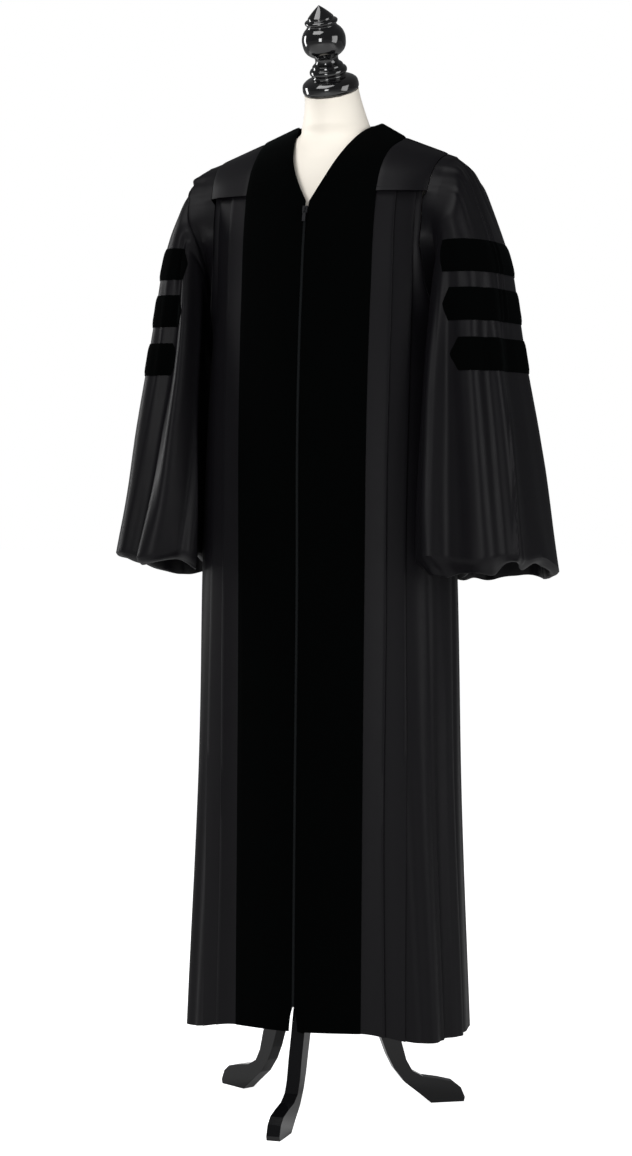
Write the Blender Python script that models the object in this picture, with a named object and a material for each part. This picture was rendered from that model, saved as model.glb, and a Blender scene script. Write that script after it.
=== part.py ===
"""Graduation gown, doctoral cut, worn by a limbless dress form on a three-legged wooden stand.

Metres. +Z is up, the wearer faces -Y, the wearer's left arm is on +X. Every sheet of
cloth is a closed wall worked out from a few named tables: the body of the gown from
level sections, the yokes and the velvet from their seam curves, the sleeves from
level rings. The stand's pole is drawn on X = Y = 0 and everything is set down at the
end with its lowest point on the floor and its outline centred on the origin.
"""
import math

import bmesh
import bpy
import numpy as np
from mathutils import Matrix, Vector

# Cloth walls and the gaps between pieces
CLOTH = 0.0012
VELVET = 0.0020
SEAM_GAP = 0.0003
VELVET_LIFT = 0.0006

# Level sections of the gown's body, half of each: the base line all panels lie on.
# z, half width, front y, y where widest, back y, squareness, keel at the centre front
BODY = (
    (0.120, 0.221, -0.101, 0.030, 0.196, 3.2, 0.017),
    (0.490, 0.208, -0.095, 0.028, 0.186, 3.0, 0.014),
    (0.800, 0.204, -0.090, 0.026, 0.174, 2.8, 0.010),
    (1.090, 0.194, -0.087, 0.030, 0.165, 2.6, 0.009),
    (1.250, 0.187, -0.076, 0.038, 0.162, 2.6, 0.007),
    (1.400, 0.196, -0.052, 0.050, 0.158, 2.6, 0.005),
    (1.440, 0.197, -0.037, 0.055, 0.152, 2.6, 0.003),
)

# Where the front and back panels end on each side: the side seam, then the armhole.
# z, y of the front panel's edge, y of the back panel's edge
EDGE = (
    (0.100, 0.055, 0.055),
    (1.120, 0.048, 0.048),
    (1.185, 0.042, 0.042),
    (1.205, 0.026, 0.062),
    (1.235, -0.006, 0.086),
    (1.270, -0.019, 0.100),
    (1.330, -0.026, 0.112),
    (1.385, -0.019, 0.117),
    (1.412, -0.013, 0.117),
    (1.440, 0.002, 0.112),
)

# Levels of the panels' rows above the hem
ROWS = (0.210, 0.330, 0.470, 0.610, 0.750, 0.880, 1.000, 1.100, 1.175,
        1.205, 1.235, 1.275, 1.330, 1.380)
FRONT_TOP = 1.412
BACK_TOP = 1.388
YOKE_SEAM = 1.409
BACK_SEAM = 1.385

# Front lines, x by height: velvet edge and the folded edges of the two knife pleats
LINE_Z = (0.12, 0.79, 1.10, 1.409)
VELVET_EDGE = (0.1015, 0.1020, 0.1035, 0.1055)
PLEAT_ONE = (0.1365, 0.1325, 0.1345, 0.1340)
PLEAT_TWO = (0.1680, 0.1620, 0.1620, 0.1620)
PLEAT_UNDER = 0.011
PLEAT_STEP = 0.0017
ZIP_HALF = 0.0026
SLIT_TOP = 0.178

# Soft folds of the front panel's side part.
# y at the hem, y at the waist, half width, height at the hem, level where it fades out
SIDE_FOLDS = (
    (-0.052, -0.050, 0.022, 0.0070, 1.02),
    (-0.014, -0.020, 0.018, -0.0080, 1.00),
    (0.018, 0.012, 0.018, 0.0065, 1.08),
)

# Flutes that hang from the gathers of the back yoke
FLUTES = 12
FLUTE_DEPTH_Z = (0.12, 0.60, 1.00, 1.25, 1.388)
FLUTE_DEPTH = (0.0150, 0.0120, 0.0085, 0.0050, 0.0022)
FLUTE_UNEVEN = (1.0, 0.8, 1.15, 0.9, 1.05, 0.85, 1.1, 0.95, 1.0, 0.8, 1.2, 0.9)

# Seam curves of the shoulder, wearer's left, from the front up to the shoulder ridge
NECKLINE = ((0.0026, -0.0560, 1.396), (0.0200, -0.0457, 1.428), (0.0345, -0.0270, 1.4600),
            (0.0450, 0.0040, 1.4880), (0.0540, 0.0400, 1.5100), (0.0680, 0.0850, 1.5265))
VELVET_UP = ((0.1055, -0.0446, 1.409), (0.1060, -0.0250, 1.445),
             (0.1085, 0.0120, 1.4780), (0.1170, 0.0600, 1.4995))
ARMHOLE_UP = ((0.1760, -0.0150, 1.409), (0.1785, 0.0000, 1.437),
              (0.1830, 0.0270, 1.4610), (0.1865, 0.0560, 1.4720))
# The same curves behind, from the shoulder ridge to the centre back
NECK_BACK = ((0.0680, 0.0850, 1.5265), (0.0530, 0.1180, 1.5300), (0.0280, 0.1370, 1.5310),
             (0.0, 0.1430, 1.5310))
COLLAR_BACK = ((0.1170, 0.0600, 1.4995), (0.0990, 0.1120, 1.4950), (0.0560, 0.1520, 1.4850),
               (0.0, 0.1690, 1.4800))

# Level rings of a sleeve from the head to the cuff, seen from above. The rings run level
# round the outside of the arm and dip below the armhole on the side of the body.
# level outside, outer x left, outer x right, inner x, centre y, half size fore and aft,
# squareness, dip below the armhole
SLEEVE = (
    (1.4735, 0.1970, 0.2000, 0.1850, 0.047, 0.078, 2.1, 0.001),
    (1.4600, 0.2110, 0.2150, 0.1860, 0.048, 0.084, 2.1, 0.003),
    (1.4300, 0.2292, 0.2180, 0.1860, 0.049, 0.091, 2.1, 0.005),
    (1.3900, 0.2468, 0.2345, 0.1850, 0.050, 0.096, 2.2, 0.008),
    (1.3500, 0.2625, 0.2542, 0.1840, 0.051, 0.099, 2.3, 0.012),
    (1.3000, 0.2785, 0.2684, 0.1800, 0.051, 0.103, 2.4, 0.018),
    (1.2300, 0.2885, 0.2790, 0.1730, 0.051, 0.110, 2.5, 0.030),
    (1.1500, 0.2990, 0.2914, 0.1650, 0.051, 0.119, 2.5, 0.055),
    (1.0500, 0.3172, 0.3060, 0.1600, 0.050, 0.130, 2.6, 0.110),
    (0.9450, 0.3340, 0.3170, 0.1580, 0.048, 0.140, 2.8, 0.200),
    (0.8560, 0.3485, 0.3330, 0.1580, 0.046, 0.148, 2.8, 0.290),
)
# Angle round a ring (0 outer line, 90 front, 180 body) against angle round the armhole (0 up)
RING_TO_ARMHOLE = ((0, 0), (65, 48), (120, 86), (150, 127), (180, 180))
SLEEVE_COLS = 34
ARMHOLE_GAP = 0.0012
BODY_CLEAR = 0.0100
# How each sleeve differs: name, side, whole moved back, squareness added
SLEEVES = (
    ("left", 1.0, 0.000, 0.10),
    ("right", -1.0, 0.010, -0.15),
)
# Folds of the sleeves: side (+1 left, -1 right, 0 both), angle at the head, angle at the cuff,
# half width in degrees, height, start and full height as shares of the sleeve's fall
SLEEVE_FOLDS = (
    (1, 118.0, 112.0, 15.0, 0.0050, 0.30, 0.70),
    (1, 92.0, 94.0, 13.0, -0.0070, 0.20, 0.60),
    (1, 62.0, 74.0, 17.0, 0.0075, 0.15, 0.60),
    (1, 44.0, 54.0, 13.0, -0.0060, 0.20, 0.60),
    (1, 30.0, 38.0, 13.0, 0.0070, 0.15, 0.60),
    (1, 8.0, 18.0, 14.0, -0.0050, 0.20, 0.60),
    (-1, 124.0, 90.0, 17.0, 0.0110, 0.15, 0.60),
    (-1, 100.0, 70.0, 15.0, -0.0090, 0.20, 0.60),
    (-1, 60.0, 48.0, 17.0, 0.0075, 0.15, 0.60),
    (-1, 24.0, 24.0, 14.0, -0.0060, 0.20, 0.60),
    (-1, 146.0, 114.0, 13.0, -0.0060, 0.40, 0.80),
    (0, -14.0, -8.0, 17.0, 0.0060, 0.15, 0.60),
    (0, -38.0, -36.0, 15.0, -0.0060, 0.20, 0.60),
    (0, -66.0, -64.0, 17.0, 0.0070, 0.15, 0.60),
    (0, -92.0, -92.0, 15.0, -0.0060, 0.20, 0.60),
    (0, -120.0, -118.0, 17.0, 0.0060, 0.15, 0.60),
)
GATHER_DEPTH = 0.0016
CUFF_WAVE = 0.0040
# The turned-in hem below the cuff: inward and up where it lies high, then where it hangs out
CUFF_TURN = (
    (0.0045, -0.0045, 0.0050, -0.0070),
    (0.0110, -0.0050, 0.0190, -0.0220),
    (0.0165, 0.0010, 0.0330, -0.0370),
    (0.0180, 0.0300, 0.0450, -0.0240),
)
# Where it hangs out: side (+1 left, -1 right, 0 both), angle, half width in degrees, share
CUFF_DROPS = (
    (1, 114.0, 38.0, 1.00),
    (1, 68.0, 34.0, 0.72),
    (1, 18.0, 32.0, 0.35),
    (-1, 128.0, 40.0, 0.50),
    (-1, 72.0, 38.0, 0.40),
    (0, -60.0, 40.0, 0.35),
    (0, -126.0, 44.0, 0.50),
)

# Velvet bars: levels of the upper and lower edge, and the sleeve columns they reach to either
# side of the outer line: all are of one length, so lower ones reach less far round
BARS = ((1.3330, 1.2840, 11), (1.2605, 1.2110, 10), (1.1860, 1.1360, 9))
# How the ends of the bars are pointed
BAR_TIP = 0.65
BAR_BLUNT = 0.25
BAR_LIFT = 0.0006
TIP_LIFT = 0.0012
# Levels of a sleeve's rows, besides the armhole itself
SLEEVE_ROWS = (1.4735, 1.4550, 1.4200, 1.3750, 1.3330, 1.2840, 1.2605, 1.2110, 1.1860, 1.1360,
               1.0600, 0.9850, 0.9150, 0.8560)

# Dress form: z, half width, front y, y where widest, back y, squareness
FORM = (
    (0.780, 0.105, -0.030, 0.020, 0.070, 2.0),
    (0.788, 0.128, -0.050, 0.022, 0.095, 2.1),
    (0.820, 0.147, -0.065, 0.024, 0.116, 2.2),
    (0.920, 0.156, -0.069, 0.025, 0.126, 2.2),
    (1.060, 0.128, -0.062, 0.028, 0.108, 2.1),
    (1.180, 0.142, -0.064, 0.034, 0.124, 2.2),
    (1.300, 0.160, -0.056, 0.042, 0.136, 2.3),
    (1.380, 0.166, -0.042, 0.048, 0.138, 2.4),
    (1.425, 0.172, -0.030, 0.053, 0.134, 2.4),
    (1.450, 0.173, -0.019, 0.056, 0.130, 2.3),
    (1.466, 0.162, -0.009, 0.057, 0.124, 2.1),
    (1.480, 0.141, 0.001, 0.061, 0.122, 1.9),
    (1.494, 0.094, 0.008, 0.068, 0.128, 1.9),
    (1.508, 0.060, 0.013, 0.071, 0.128, 2.0),
    (1.522, 0.053, 0.011, 0.067, 0.122, 2.0),
)
FORM_COLS = 28
NECK_TOP = (0.0, 0.045, 1.5755)
NECK_RADIUS = 0.0425
LEAN = math.radians(24.0)

# Turned neck cap: radius and height along its leaning axis
CAP = (
    (0.0405, 0.0000), (0.0430, 0.0023), (0.0438, 0.0094), (0.0425, 0.0148), (0.0385, 0.0187),
    (0.0325, 0.0218), (0.0270, 0.0242), (0.0262, 0.0265), (0.0285, 0.0292), (0.0292, 0.0335),
    (0.0272, 0.0370), (0.0245, 0.0387), (0.0238, 0.0417), (0.0215, 0.0440), (0.0190, 0.0460),
    (0.0180, 0.0499), (0.0185, 0.0541), (0.0245, 0.0585), (0.0295, 0.0632), (0.0323, 0.0686),
    (0.0337, 0.0764), (0.0338, 0.0842), (0.0318, 0.0913), (0.0285, 0.0967), (0.0240, 0.1014),
    (0.0225, 0.1045), (0.0250, 0.1072), (0.0257, 0.1100), (0.0235, 0.1123), (0.0195, 0.1139),
    (0.0200, 0.1158), (0.0185, 0.1179), (0.0165, 0.1201), (0.0085, 0.1279), (0.0000, 0.1350),
)
CAP_COLS = 20

# Stand: side outline of one leg as distance from the pole and height
LEG = (
    (0.0285, 0.205), (0.0285, 0.285), (0.0450, 0.272), (0.0750, 0.228), (0.1000, 0.182),
    (0.1130, 0.138), (0.1260, 0.100), (0.1340, 0.070), (0.1440, 0.052), (0.1620, 0.0420),
    (0.1880, 0.0375), (0.2100, 0.0320), (0.2220, 0.0225), (0.2285, 0.0070), (0.2270, 0.0000),
    (0.1740, 0.0000), (0.1560, 0.0150), (0.1320, 0.0340), (0.1150, 0.0560), (0.1040, 0.0780),
    (0.0940, 0.1050), (0.0800, 0.1400), (0.0580, 0.1800),
)
LEG_THICK = 0.021
LEG_TURNS = (2.9, -117.1, 122.9)
HUB = ((0.020, 0.180), (0.0275, 0.186), (0.0280, 0.200), (0.0280, 0.290), (0.0265, 0.300),
       (0.0200, 0.306))
POLE_RADIUS = 0.0125

# Zip slider and its pull, in the slider's own axes: x across, y out of the gown, z up
SLIDER_Z = 1.3815
SLIDER_SIZE = (0.0076, 0.0026, 0.0110)
SLIDER_OFF = 0.0031
STRAP_GAP = 0.0018
STRAP = 0.0014
PULL_HALF = 0.0024
PULL_THICK = 0.0010
PULL_LENGTH = 0.0170
HINGE_DROP = 0.0022

COLOURS = {
    "cloth": (0.022, 0.020, 0.024, 1.0),
    "velvet": (0.004, 0.006, 0.007, 1.0),
    "form": (0.84, 0.78, 0.64, 1.0),
    "lacquer": (0.008, 0.008, 0.009, 1.0),
    "zip": (0.012, 0.012, 0.014, 1.0),
}
ROUGHNESS = {"cloth": 0.6, "velvet": 0.95, "form": 0.65, "lacquer": 0.12, "zip": 0.35}

made = []


# Plain helpers: smooth tables, curves and closed bodies

def smooth(x, xs, ys):
    """Value at x of a smooth line through the points (xs, ys)."""
    xs = np.asarray(xs, float)
    ys = np.asarray(ys, float)
    slope = np.gradient(ys, xs, axis=0)
    x = np.clip(x, xs[0], xs[-1])
    k = np.clip(np.searchsorted(xs, x, side="right") - 1, 0, len(xs) - 2)
    step = xs[k + 1] - xs[k]
    t = (x - xs[k]) / step
    a = (1 + 2 * t) * (1 - t) ** 2
    b = t * (1 - t) ** 2
    c = t * t * (3 - 2 * t)
    d = t * t * (t - 1)
    return a * ys[k] + b * step * slope[k] + c * ys[k + 1] + d * step * slope[k + 1]


def along(points, t):
    """Point at share t of a smooth curve through the points, by length."""
    points = np.asarray(points, float)
    length = np.concatenate([[0], np.cumsum(np.linalg.norm(np.diff(points, axis=0), axis=1))])
    return np.array([smooth(t * length[-1], length, points[:, axis]) for axis in range(3)])


def bump(x):
    """One soft rise: 1 at 0, 0 at -1 and +1."""
    return np.where(np.abs(x) < 1.0, np.cos(np.clip(x, -1, 1) * math.pi / 2) ** 2, 0.0)


def ease(x):
    """0 below 0, 1 above 1, soft between."""
    x = np.clip(x, 0.0, 1.0)
    return x * x * (3 - 2 * x)


def material(kind, name):
    """A fresh Principled material for one piece."""
    mat = bpy.data.materials.new(name)
    mat.use_nodes = True
    shader = mat.node_tree.nodes["Principled BSDF"]
    shader.inputs["Base Color"].default_value = COLOURS[kind]
    shader.inputs["Roughness"].default_value = ROUGHNESS[kind]
    mat.diffuse_color = COLOURS[kind]
    return mat


def add_object(name, kind, verts, faces, origin=(0.0, 0.0, 0.0)):
    """A named object from points and faces, its origin where asked."""
    origin = Vector(origin)
    mesh = bpy.data.meshes.new(name)
    mesh.from_pydata([Vector(v) - origin for v in verts], [], faces)
    work = bmesh.new()
    work.from_mesh(mesh)
    bmesh.ops.recalc_face_normals(work, faces=work.faces)
    if work.calc_volume(signed=True) < 0:
        bmesh.ops.reverse_faces(work, faces=work.faces)
    work.to_mesh(mesh)
    work.free()
    mesh.shade_smooth()
    mesh.materials.append(material(kind, name))
    obj = bpy.data.objects.new(name, mesh)
    obj.location = origin
    bpy.context.scene.collection.objects.link(obj)
    made.append(obj)
    return obj


def wall(name, kind, outer, inner, closed=False):
    """One closed body between two grids of points, rows by columns."""
    rows, cols = outer.shape[:2]
    count = rows * cols
    verts = [tuple(p) for p in outer.reshape(-1, 3)] + [tuple(p) for p in inner.reshape(-1, 3)]
    faces = []
    spans = cols if closed else cols - 1
    for r in range(rows - 1):
        for c in range(spans):
            d = (c + 1) % cols
            # The same diagonal everywhere, so that walls laid on each other stay parallel
            a = (r * cols + c, r * cols + d, (r + 1) * cols + d)
            b = (r * cols + c, (r + 1) * cols + d, (r + 1) * cols + c)
            for face in (a, b):
                faces.append(face)
                faces.append(tuple(count + i for i in reversed(face)))
    for r in (0, rows - 1):
        for c in range(spans):
            d = (c + 1) % cols
            edge = (r * cols + c, r * cols + d)
            faces.append((edge[1], edge[0], count + edge[0], count + edge[1]))
    if not closed:
        for c in (0, cols - 1):
            for r in range(rows - 1):
                edge = (r * cols + c, (r + 1) * cols + c)
                faces.append((edge[0], edge[1], count + edge[1], count + edge[0]))
    return add_object(name, kind, verts, faces)


def grid_normals(grid, closed=False):
    """Unit normals of a grid of points, pointing away from columns crossed with rows."""
    if closed:
        across = np.roll(grid, -1, axis=1) - np.roll(grid, 1, axis=1)
    else:
        across = np.gradient(grid, axis=1)
    down = np.gradient(grid, axis=0)
    normal = np.cross(across, down)
    return normal / np.linalg.norm(normal, axis=2, keepdims=True)


# The body of the gown: a base line for every level

sections = {}


def section(z):
    """Half a level section from centre front to centre back: points, normals, length."""
    key = round(z, 6)
    if key in sections:
        return sections[key]
    table = np.array(BODY)
    half, front, wide, back, power, keel = [smooth(z, table[:, 0], table[:, k]) for k in range(1, 7)]
    turn = np.linspace(0, math.pi, 361)
    s = np.sin(turn)
    c = np.cos(turn)
    x = half * np.abs(s) ** (2 / power)
    ahead = wide - (wide - front) * np.abs(c) ** (2 / power)
    behind = wide + (back - wide) * np.abs(c) ** (2 / 2.3)
    y = np.where(c >= 0, ahead, behind)
    y = y - np.where(c >= 0, keel * bump(x / 0.13), 0.0)
    points = np.stack([x, y], axis=1)
    length = np.concatenate([[0], np.cumsum(np.linalg.norm(np.diff(points, axis=0), axis=1))])
    tangent = np.gradient(points, axis=0)
    tangent[0] = (1, 0)
    tangent[-1] = (-1, 0)
    tangent /= np.linalg.norm(tangent, axis=1, keepdims=True)
    normal = np.stack([tangent[:, 1], -tangent[:, 0]], axis=1)
    sections[key] = (points, normal, length)
    return sections[key]


def place(side, s, h, z):
    """Point at length s from the centre front, h out from the base line, at level z."""
    points, normal, length = section(z)
    p = [np.interp(s, length, points[:, k]) + h * np.interp(s, length, normal[:, k]) for k in (0, 1)]
    return (side * p[0], p[1], z)


def length_at_x(z, x):
    """Length from the centre front where the front half of the section reaches x."""
    points, _, length = section(z)
    n = int(np.argmax(points[:, 0]))
    return float(np.interp(x, points[:n, 0], length[:n]))


def length_at_y(z, y):
    """Length from the centre front where the side of the section reaches y."""
    points, _, length = section(z)
    start = int(np.argmax(points[:, 0] > 0.10))
    stop = len(points) - 1 - int(np.argmax(points[::-1, 0] > 0.10))
    return float(np.interp(y, points[start:stop, 1], length[start:stop]))


def line_at(z, values):
    """Length of a front line given as x by height."""
    return length_at_x(z, float(smooth(z, LINE_Z, values)))


def hem_level(s):
    """Height of the hem at length s: a little higher at the centre front."""
    return 0.1250 + 0.0155 * (1 - ease((s - 0.10) / 0.11))


def offset_path(path, distance):
    """A path in the (s, h) plane moved to one side by a distance, with square corners."""
    path = np.asarray(path, float)
    step = np.diff(path, axis=0)
    step /= np.linalg.norm(step, axis=1, keepdims=True)
    side = np.stack([-step[:, 1], step[:, 0]], axis=1)
    first = np.vstack([side[:1], side])
    last = np.vstack([side, side[-1:]])
    middle = first + last
    middle /= np.maximum(np.sum(middle * first, axis=1, keepdims=True), 0.35)
    return path + distance * middle


def side_fold(s, z):
    """Height of the soft folds on the side part of a front panel."""
    total = 0.0
    for y_hem, y_waist, width, height, top in SIDE_FOLDS:
        share = ease((top - z) / (top - 0.12))
        centre = length_at_y(z, y_waist + (y_hem - y_waist) * share)
        total += height * share * float(bump((s - centre) / width))
    return total


# Panels of the gown

def front_path(z):
    """Middle line of a front panel at level z: two knife pleats, then the soft side part."""
    start = line_at(z, VELVET_EDGE) - 0.006
    step = PLEAT_STEP
    depth = -CLOTH / 2
    path = [(start, depth)]
    for values in (PLEAT_ONE, PLEAT_TWO):
        fold = line_at(z, values)
        path.append(((path[-1][0] + fold) / 2, depth))
        path.append((fold, depth))
        path.append((fold, depth - step))
        path.append((fold - PLEAT_UNDER, depth - step))
        path.append((fold - PLEAT_UNDER, depth - 2 * step))
        depth -= 2 * step
    begin = path[-1][0]
    edge_z, edge_y = np.array(EDGE)[:, 0], np.array(EDGE)[:, 1]
    end = length_at_y(z, float(np.interp(z, edge_z, edge_y))) - SEAM_GAP / 2
    for k in range(1, 12):
        s = begin + (end - begin) * k / 11
        rise = 2 * 2 * step * ease((k / 11 - 0.25) / 0.75)
        path.append((s, depth + rise + side_fold(s, z)))
    return path


def build_front(name, side):
    """One pleated front panel from the yoke seam to the hem."""
    outer = []
    inner = []
    for z in (0.125,) + ROWS + (FRONT_TOP,):
        path = front_path(z)
        out = offset_path(path, CLOTH / 2)
        back = offset_path(path, -CLOTH / 2)
        rows = []
        for line in (out, back):
            row = []
            for (s, h), (mid, _) in zip(line, path):
                level = z
                if z == 0.125:
                    level = hem_level(mid)
                row.append(place(side, s, h, level))
            rows.append(row)
        outer.append(rows[0])
        inner.append(rows[1])
    return wall(name, "cloth", np.array(outer), np.array(inner))


def back_path(z):
    """Middle line of half the back at level z, from the centre back to the side."""
    total = section(z)[2][-1]
    edge_z, edge_y = np.array(EDGE)[:, 0], np.array(EDGE)[:, 2]
    end = total - length_at_y(z, float(np.interp(z, edge_z, edge_y))) - SEAM_GAP / 2
    depth = float(smooth(z, FLUTE_DEPTH_Z, FLUTE_DEPTH))
    path = []
    half = FLUTES // 2
    steps = half * 4 + 4
    for k in range(steps + 1):
        share = k / steps
        wave = 0.0
        if k <= half * 4:
            flute = min(k // 4, half - 1)
            wave = -depth * FLUTE_UNEVEN[flute] * (1 - math.cos(k * math.pi / 2)) / 2
        path.append((end * share, wave - CLOTH / 2 - 0.0028 * float(ease((z - 1.33) / 0.05))))
    return path


def build_back():
    """The back panel with its flutes, from side seam to side seam."""
    outer = []
    inner = []
    for z in (0.125,) + ROWS + (BACK_TOP,):
        if z == 1.380:
            continue
        total = section(z)[2][-1]
        half = back_path(z)
        path = [(-t, h) for t, h in reversed(half[1:])] + half
        rows = []
        for distance in (CLOTH / 2, -CLOTH / 2):
            line = offset_path(path, distance)
            row = []
            for (t, h) in line:
                row.append(place(1.0 if t >= 0 else -1.0, total - abs(t), h, z))
            rows.append(row)
        outer.append(rows[0])
        inner.append(rows[1])
    return wall("back", "cloth", np.array(outer), np.array(inner))


def seam_curve(points, side, t):
    """Point of a named seam curve on the wearer's left or right."""
    p = along(points, t)
    return np.array([side * p[0], p[1], p[2]])


def velvet_grid(side):
    """Base points of a velvet front, from the hem to the shoulder ridge."""
    cols = 6
    rows = []
    for z in (0.125, SLIT_TOP) + ROWS:
        edge = line_at(z, VELVET_EDGE)
        open_slit = 0.0035 * ease((SLIT_TOP - z) / 0.05)
        row = []
        for k in range(cols):
            s = ZIP_HALF + open_slit + (edge - SEAM_GAP - ZIP_HALF - open_slit) * k / (cols - 1)
            level = hem_level(s) if z == 0.125 else z
            row.append(place(side, s, 0.0, level))
        rows.append(row)
    bottom = []
    for k in range(cols):
        share = k / (cols - 1)
        z = 1.396 + (YOKE_SEAM - 1.396) * share
        edge = line_at(z, VELVET_EDGE)
        bottom.append(place(side, ZIP_HALF + (edge - ZIP_HALF - SEAM_GAP) * share, 0.0, z))
    bottom = np.array(bottom)
    for v in (0.0, 0.2, 0.4, 0.6, 0.8, 1.0):
        a = seam_curve(NECKLINE, side, v)
        b = seam_curve(VELVET_UP, side, v)
        row = []
        for k in range(cols):
            share = k / (cols - 1)
            start = bottom[0] + (bottom[-1] - bottom[0]) * share
            row.append(a + (b - a) * share + (bottom[k] - start) * (1 - v))
        shift = (b - a) / np.linalg.norm(b - a) * SEAM_GAP
        row[-1] = row[-1] - shift
        rows.append([p - np.array([0, 0.0002, 0]) * v for p in row])
    return np.array(rows)


def two_faced(name, kind, grid, low, high, flip):
    """A wall between two heights over a base grid, measured along the grid's own normals."""
    normal = grid_normals(grid) * (-1 if flip else 1)
    return wall(name, kind, grid + normal * high, grid + normal * low)


def yoke_grid(side):
    """Base points of a front yoke: velvet edge to armhole, seam to shoulder ridge."""
    cols = 5
    start = line_at(YOKE_SEAM, VELVET_EDGE)
    end = length_at_x(YOKE_SEAM, ARMHOLE_UP[0][0])
    bottom = np.array([place(side, start + (end - start) * k / (cols - 1), 0.0, YOKE_SEAM)
                       for k in range(cols)])
    rows = []
    for v in (0.0, 0.2, 0.4, 0.6, 0.8, 1.0):
        a = seam_curve(VELVET_UP, side, v)
        b = seam_curve(ARMHOLE_UP, side, v)
        row = []
        for k in range(cols):
            share = k / (cols - 1)
            line = bottom[0] + (bottom[-1] - bottom[0]) * share
            row.append(a + (b - a) * share + (bottom[k] - line) * (1 - v))
        rows.append([p - np.array([0, 0.0002, 0]) * v for p in row])
    return np.array(rows)


def back_yoke_column(c, v):
    """Point of the back yoke: c from the centre back (0) to the armhole (1), v down."""
    side = 1.0 if c >= 0 else -1.0
    c = abs(c)
    if c < 0.62:
        top = along(COLLAR_BACK, 1 - c / 0.62)
    else:
        share = (c - 0.62) / 0.38
        top = np.array(COLLAR_BACK[0]) * (1 - share) + np.array(ARMHOLE_UP[-1]) * share
    total = section(BACK_SEAM)[2][-1]
    edge = total - length_at_y(BACK_SEAM, 0.117)
    low = np.array(place(1.0, total - c * edge, 0.0, BACK_SEAM))
    bend = np.array([(top[0] + low[0]) / 2, max(low[1] + 0.004, top[1]), top[2] - 0.15 * (top[2] - low[2])])
    p = (1 - v) ** 2 * top + 2 * v * (1 - v) * bend + v * v * low
    return np.array([side * p[0], p[1], p[2]])


def build_back_yoke():
    """The back yoke in one piece across the centre back."""
    cols = np.concatenate([np.linspace(-1, -0.62, 4)[:-1], np.linspace(-0.62, 0.62, 9), np.linspace(0.62, 1, 4)[1:]])
    grid = []
    for v in (0.0, 0.2, 0.4, 0.6, 0.8, 1.0):
        row = []
        for c in cols:
            p = back_yoke_column(c, v)
            if v == 0:
                away = back_yoke_column(c, 0.2) - p
                p = p + away / np.linalg.norm(away) * SEAM_GAP * 2.5
            row.append(p)
        grid.append(row)
    return two_faced("yoke_back", "cloth", np.array(grid), SEAM_GAP, SEAM_GAP + CLOTH, True)


def build_collar():
    """Velvet band round the back of the neck, from ridge to ridge."""
    cols = 9
    rows = []
    for v in (0.0, 0.33, 0.67, 1.0):
        row = []
        for k in range(cols):
            c = -1 + 2 * k / (cols - 1)
            side = 1.0 if c >= 0 else -1.0
            a = seam_curve(NECK_BACK, side, 1 - abs(c))
            b = seam_curve(COLLAR_BACK, side, 1 - abs(c))
            p = a + (b - a) * v
            if v == 1.0:
                p = p - (b - a) / np.linalg.norm(b - a) * SEAM_GAP
            if k in (0, cols - 1):
                p = p + np.array([0, SEAM_GAP * 1.5, 0])
            row.append(p)
        rows.append(row)
    return two_faced("collar_back", "velvet", np.array(rows), SEAM_GAP, SEAM_GAP + VELVET, True)


# Sleeves

def armhole_curve():
    """Closed seam line of the armhole on the wearer's left, as angle and point."""
    points = []
    for t in np.linspace(0, 1, 9)[::-1]:
        points.append(along(ARMHOLE_UP, t))
    edge = np.array(EDGE)
    for z in np.linspace(1.40, 1.186, 26):
        y = float(np.interp(z, edge[:, 0], edge[:, 1]))
        points.append(np.array(place(1.0, length_at_y(z, y), 0.0, z)))
    for z in np.linspace(1.186, 1.380, 26):
        y = float(np.interp(z, edge[:, 0], edge[:, 2]))
        points.append(np.array(place(1.0, length_at_y(z, y), 0.0, z)))
    for v in np.linspace(1, 0, 9)[:-1]:
        points.append(back_yoke_column(1.0, v))
    points = np.array(points)
    angle = np.degrees(np.arctan2(-(points[:, 1] - 0.046), points[:, 2] - 1.337)) % 360
    angle[0] = angle[0] if angle[0] < 180 else angle[0] - 360
    order = np.argsort(angle)
    return angle[order], points[order]


def armhole_at(theta):
    """Point of the armhole at an angle in degrees, 0 up, 90 to the front."""
    angle, points = armhole
    return np.array([np.interp(theta % 360, angle, points[:, k], period=360) for k in range(3)])


def squared(theta, power):
    """Unit ring with a squareness: outward and forward parts."""
    c = math.cos(theta)
    s = math.sin(theta)
    return (math.copysign(abs(c) ** (2 / power), c), math.copysign(abs(s) ** (2 / power), s))


def sleeve_fold(side, degrees, fall):
    """Height of the sleeve's folds at an angle and a share of the fall."""
    total = 0.0
    for which, head, cuff, width, height, start, full in SLEEVE_FOLDS:
        if which not in (0, side):
            continue
        centre = head + (cuff - head) * fall
        apart = (degrees - centre + 180) % 360 - 180
        share = float(ease((fall - start) / (full - start)))
        total += height * share * float(bump(apart / width))
    return total


def ring_to_armhole(degrees):
    """Angle round the armhole for an angle round a sleeve's ring."""
    table = np.array(RING_TO_ARMHOLE, float)
    turn = (degrees + 180) % 360 - 180
    return math.copysign(float(smooth(abs(turn), table[:, 0], table[:, 1])), turn)


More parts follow.
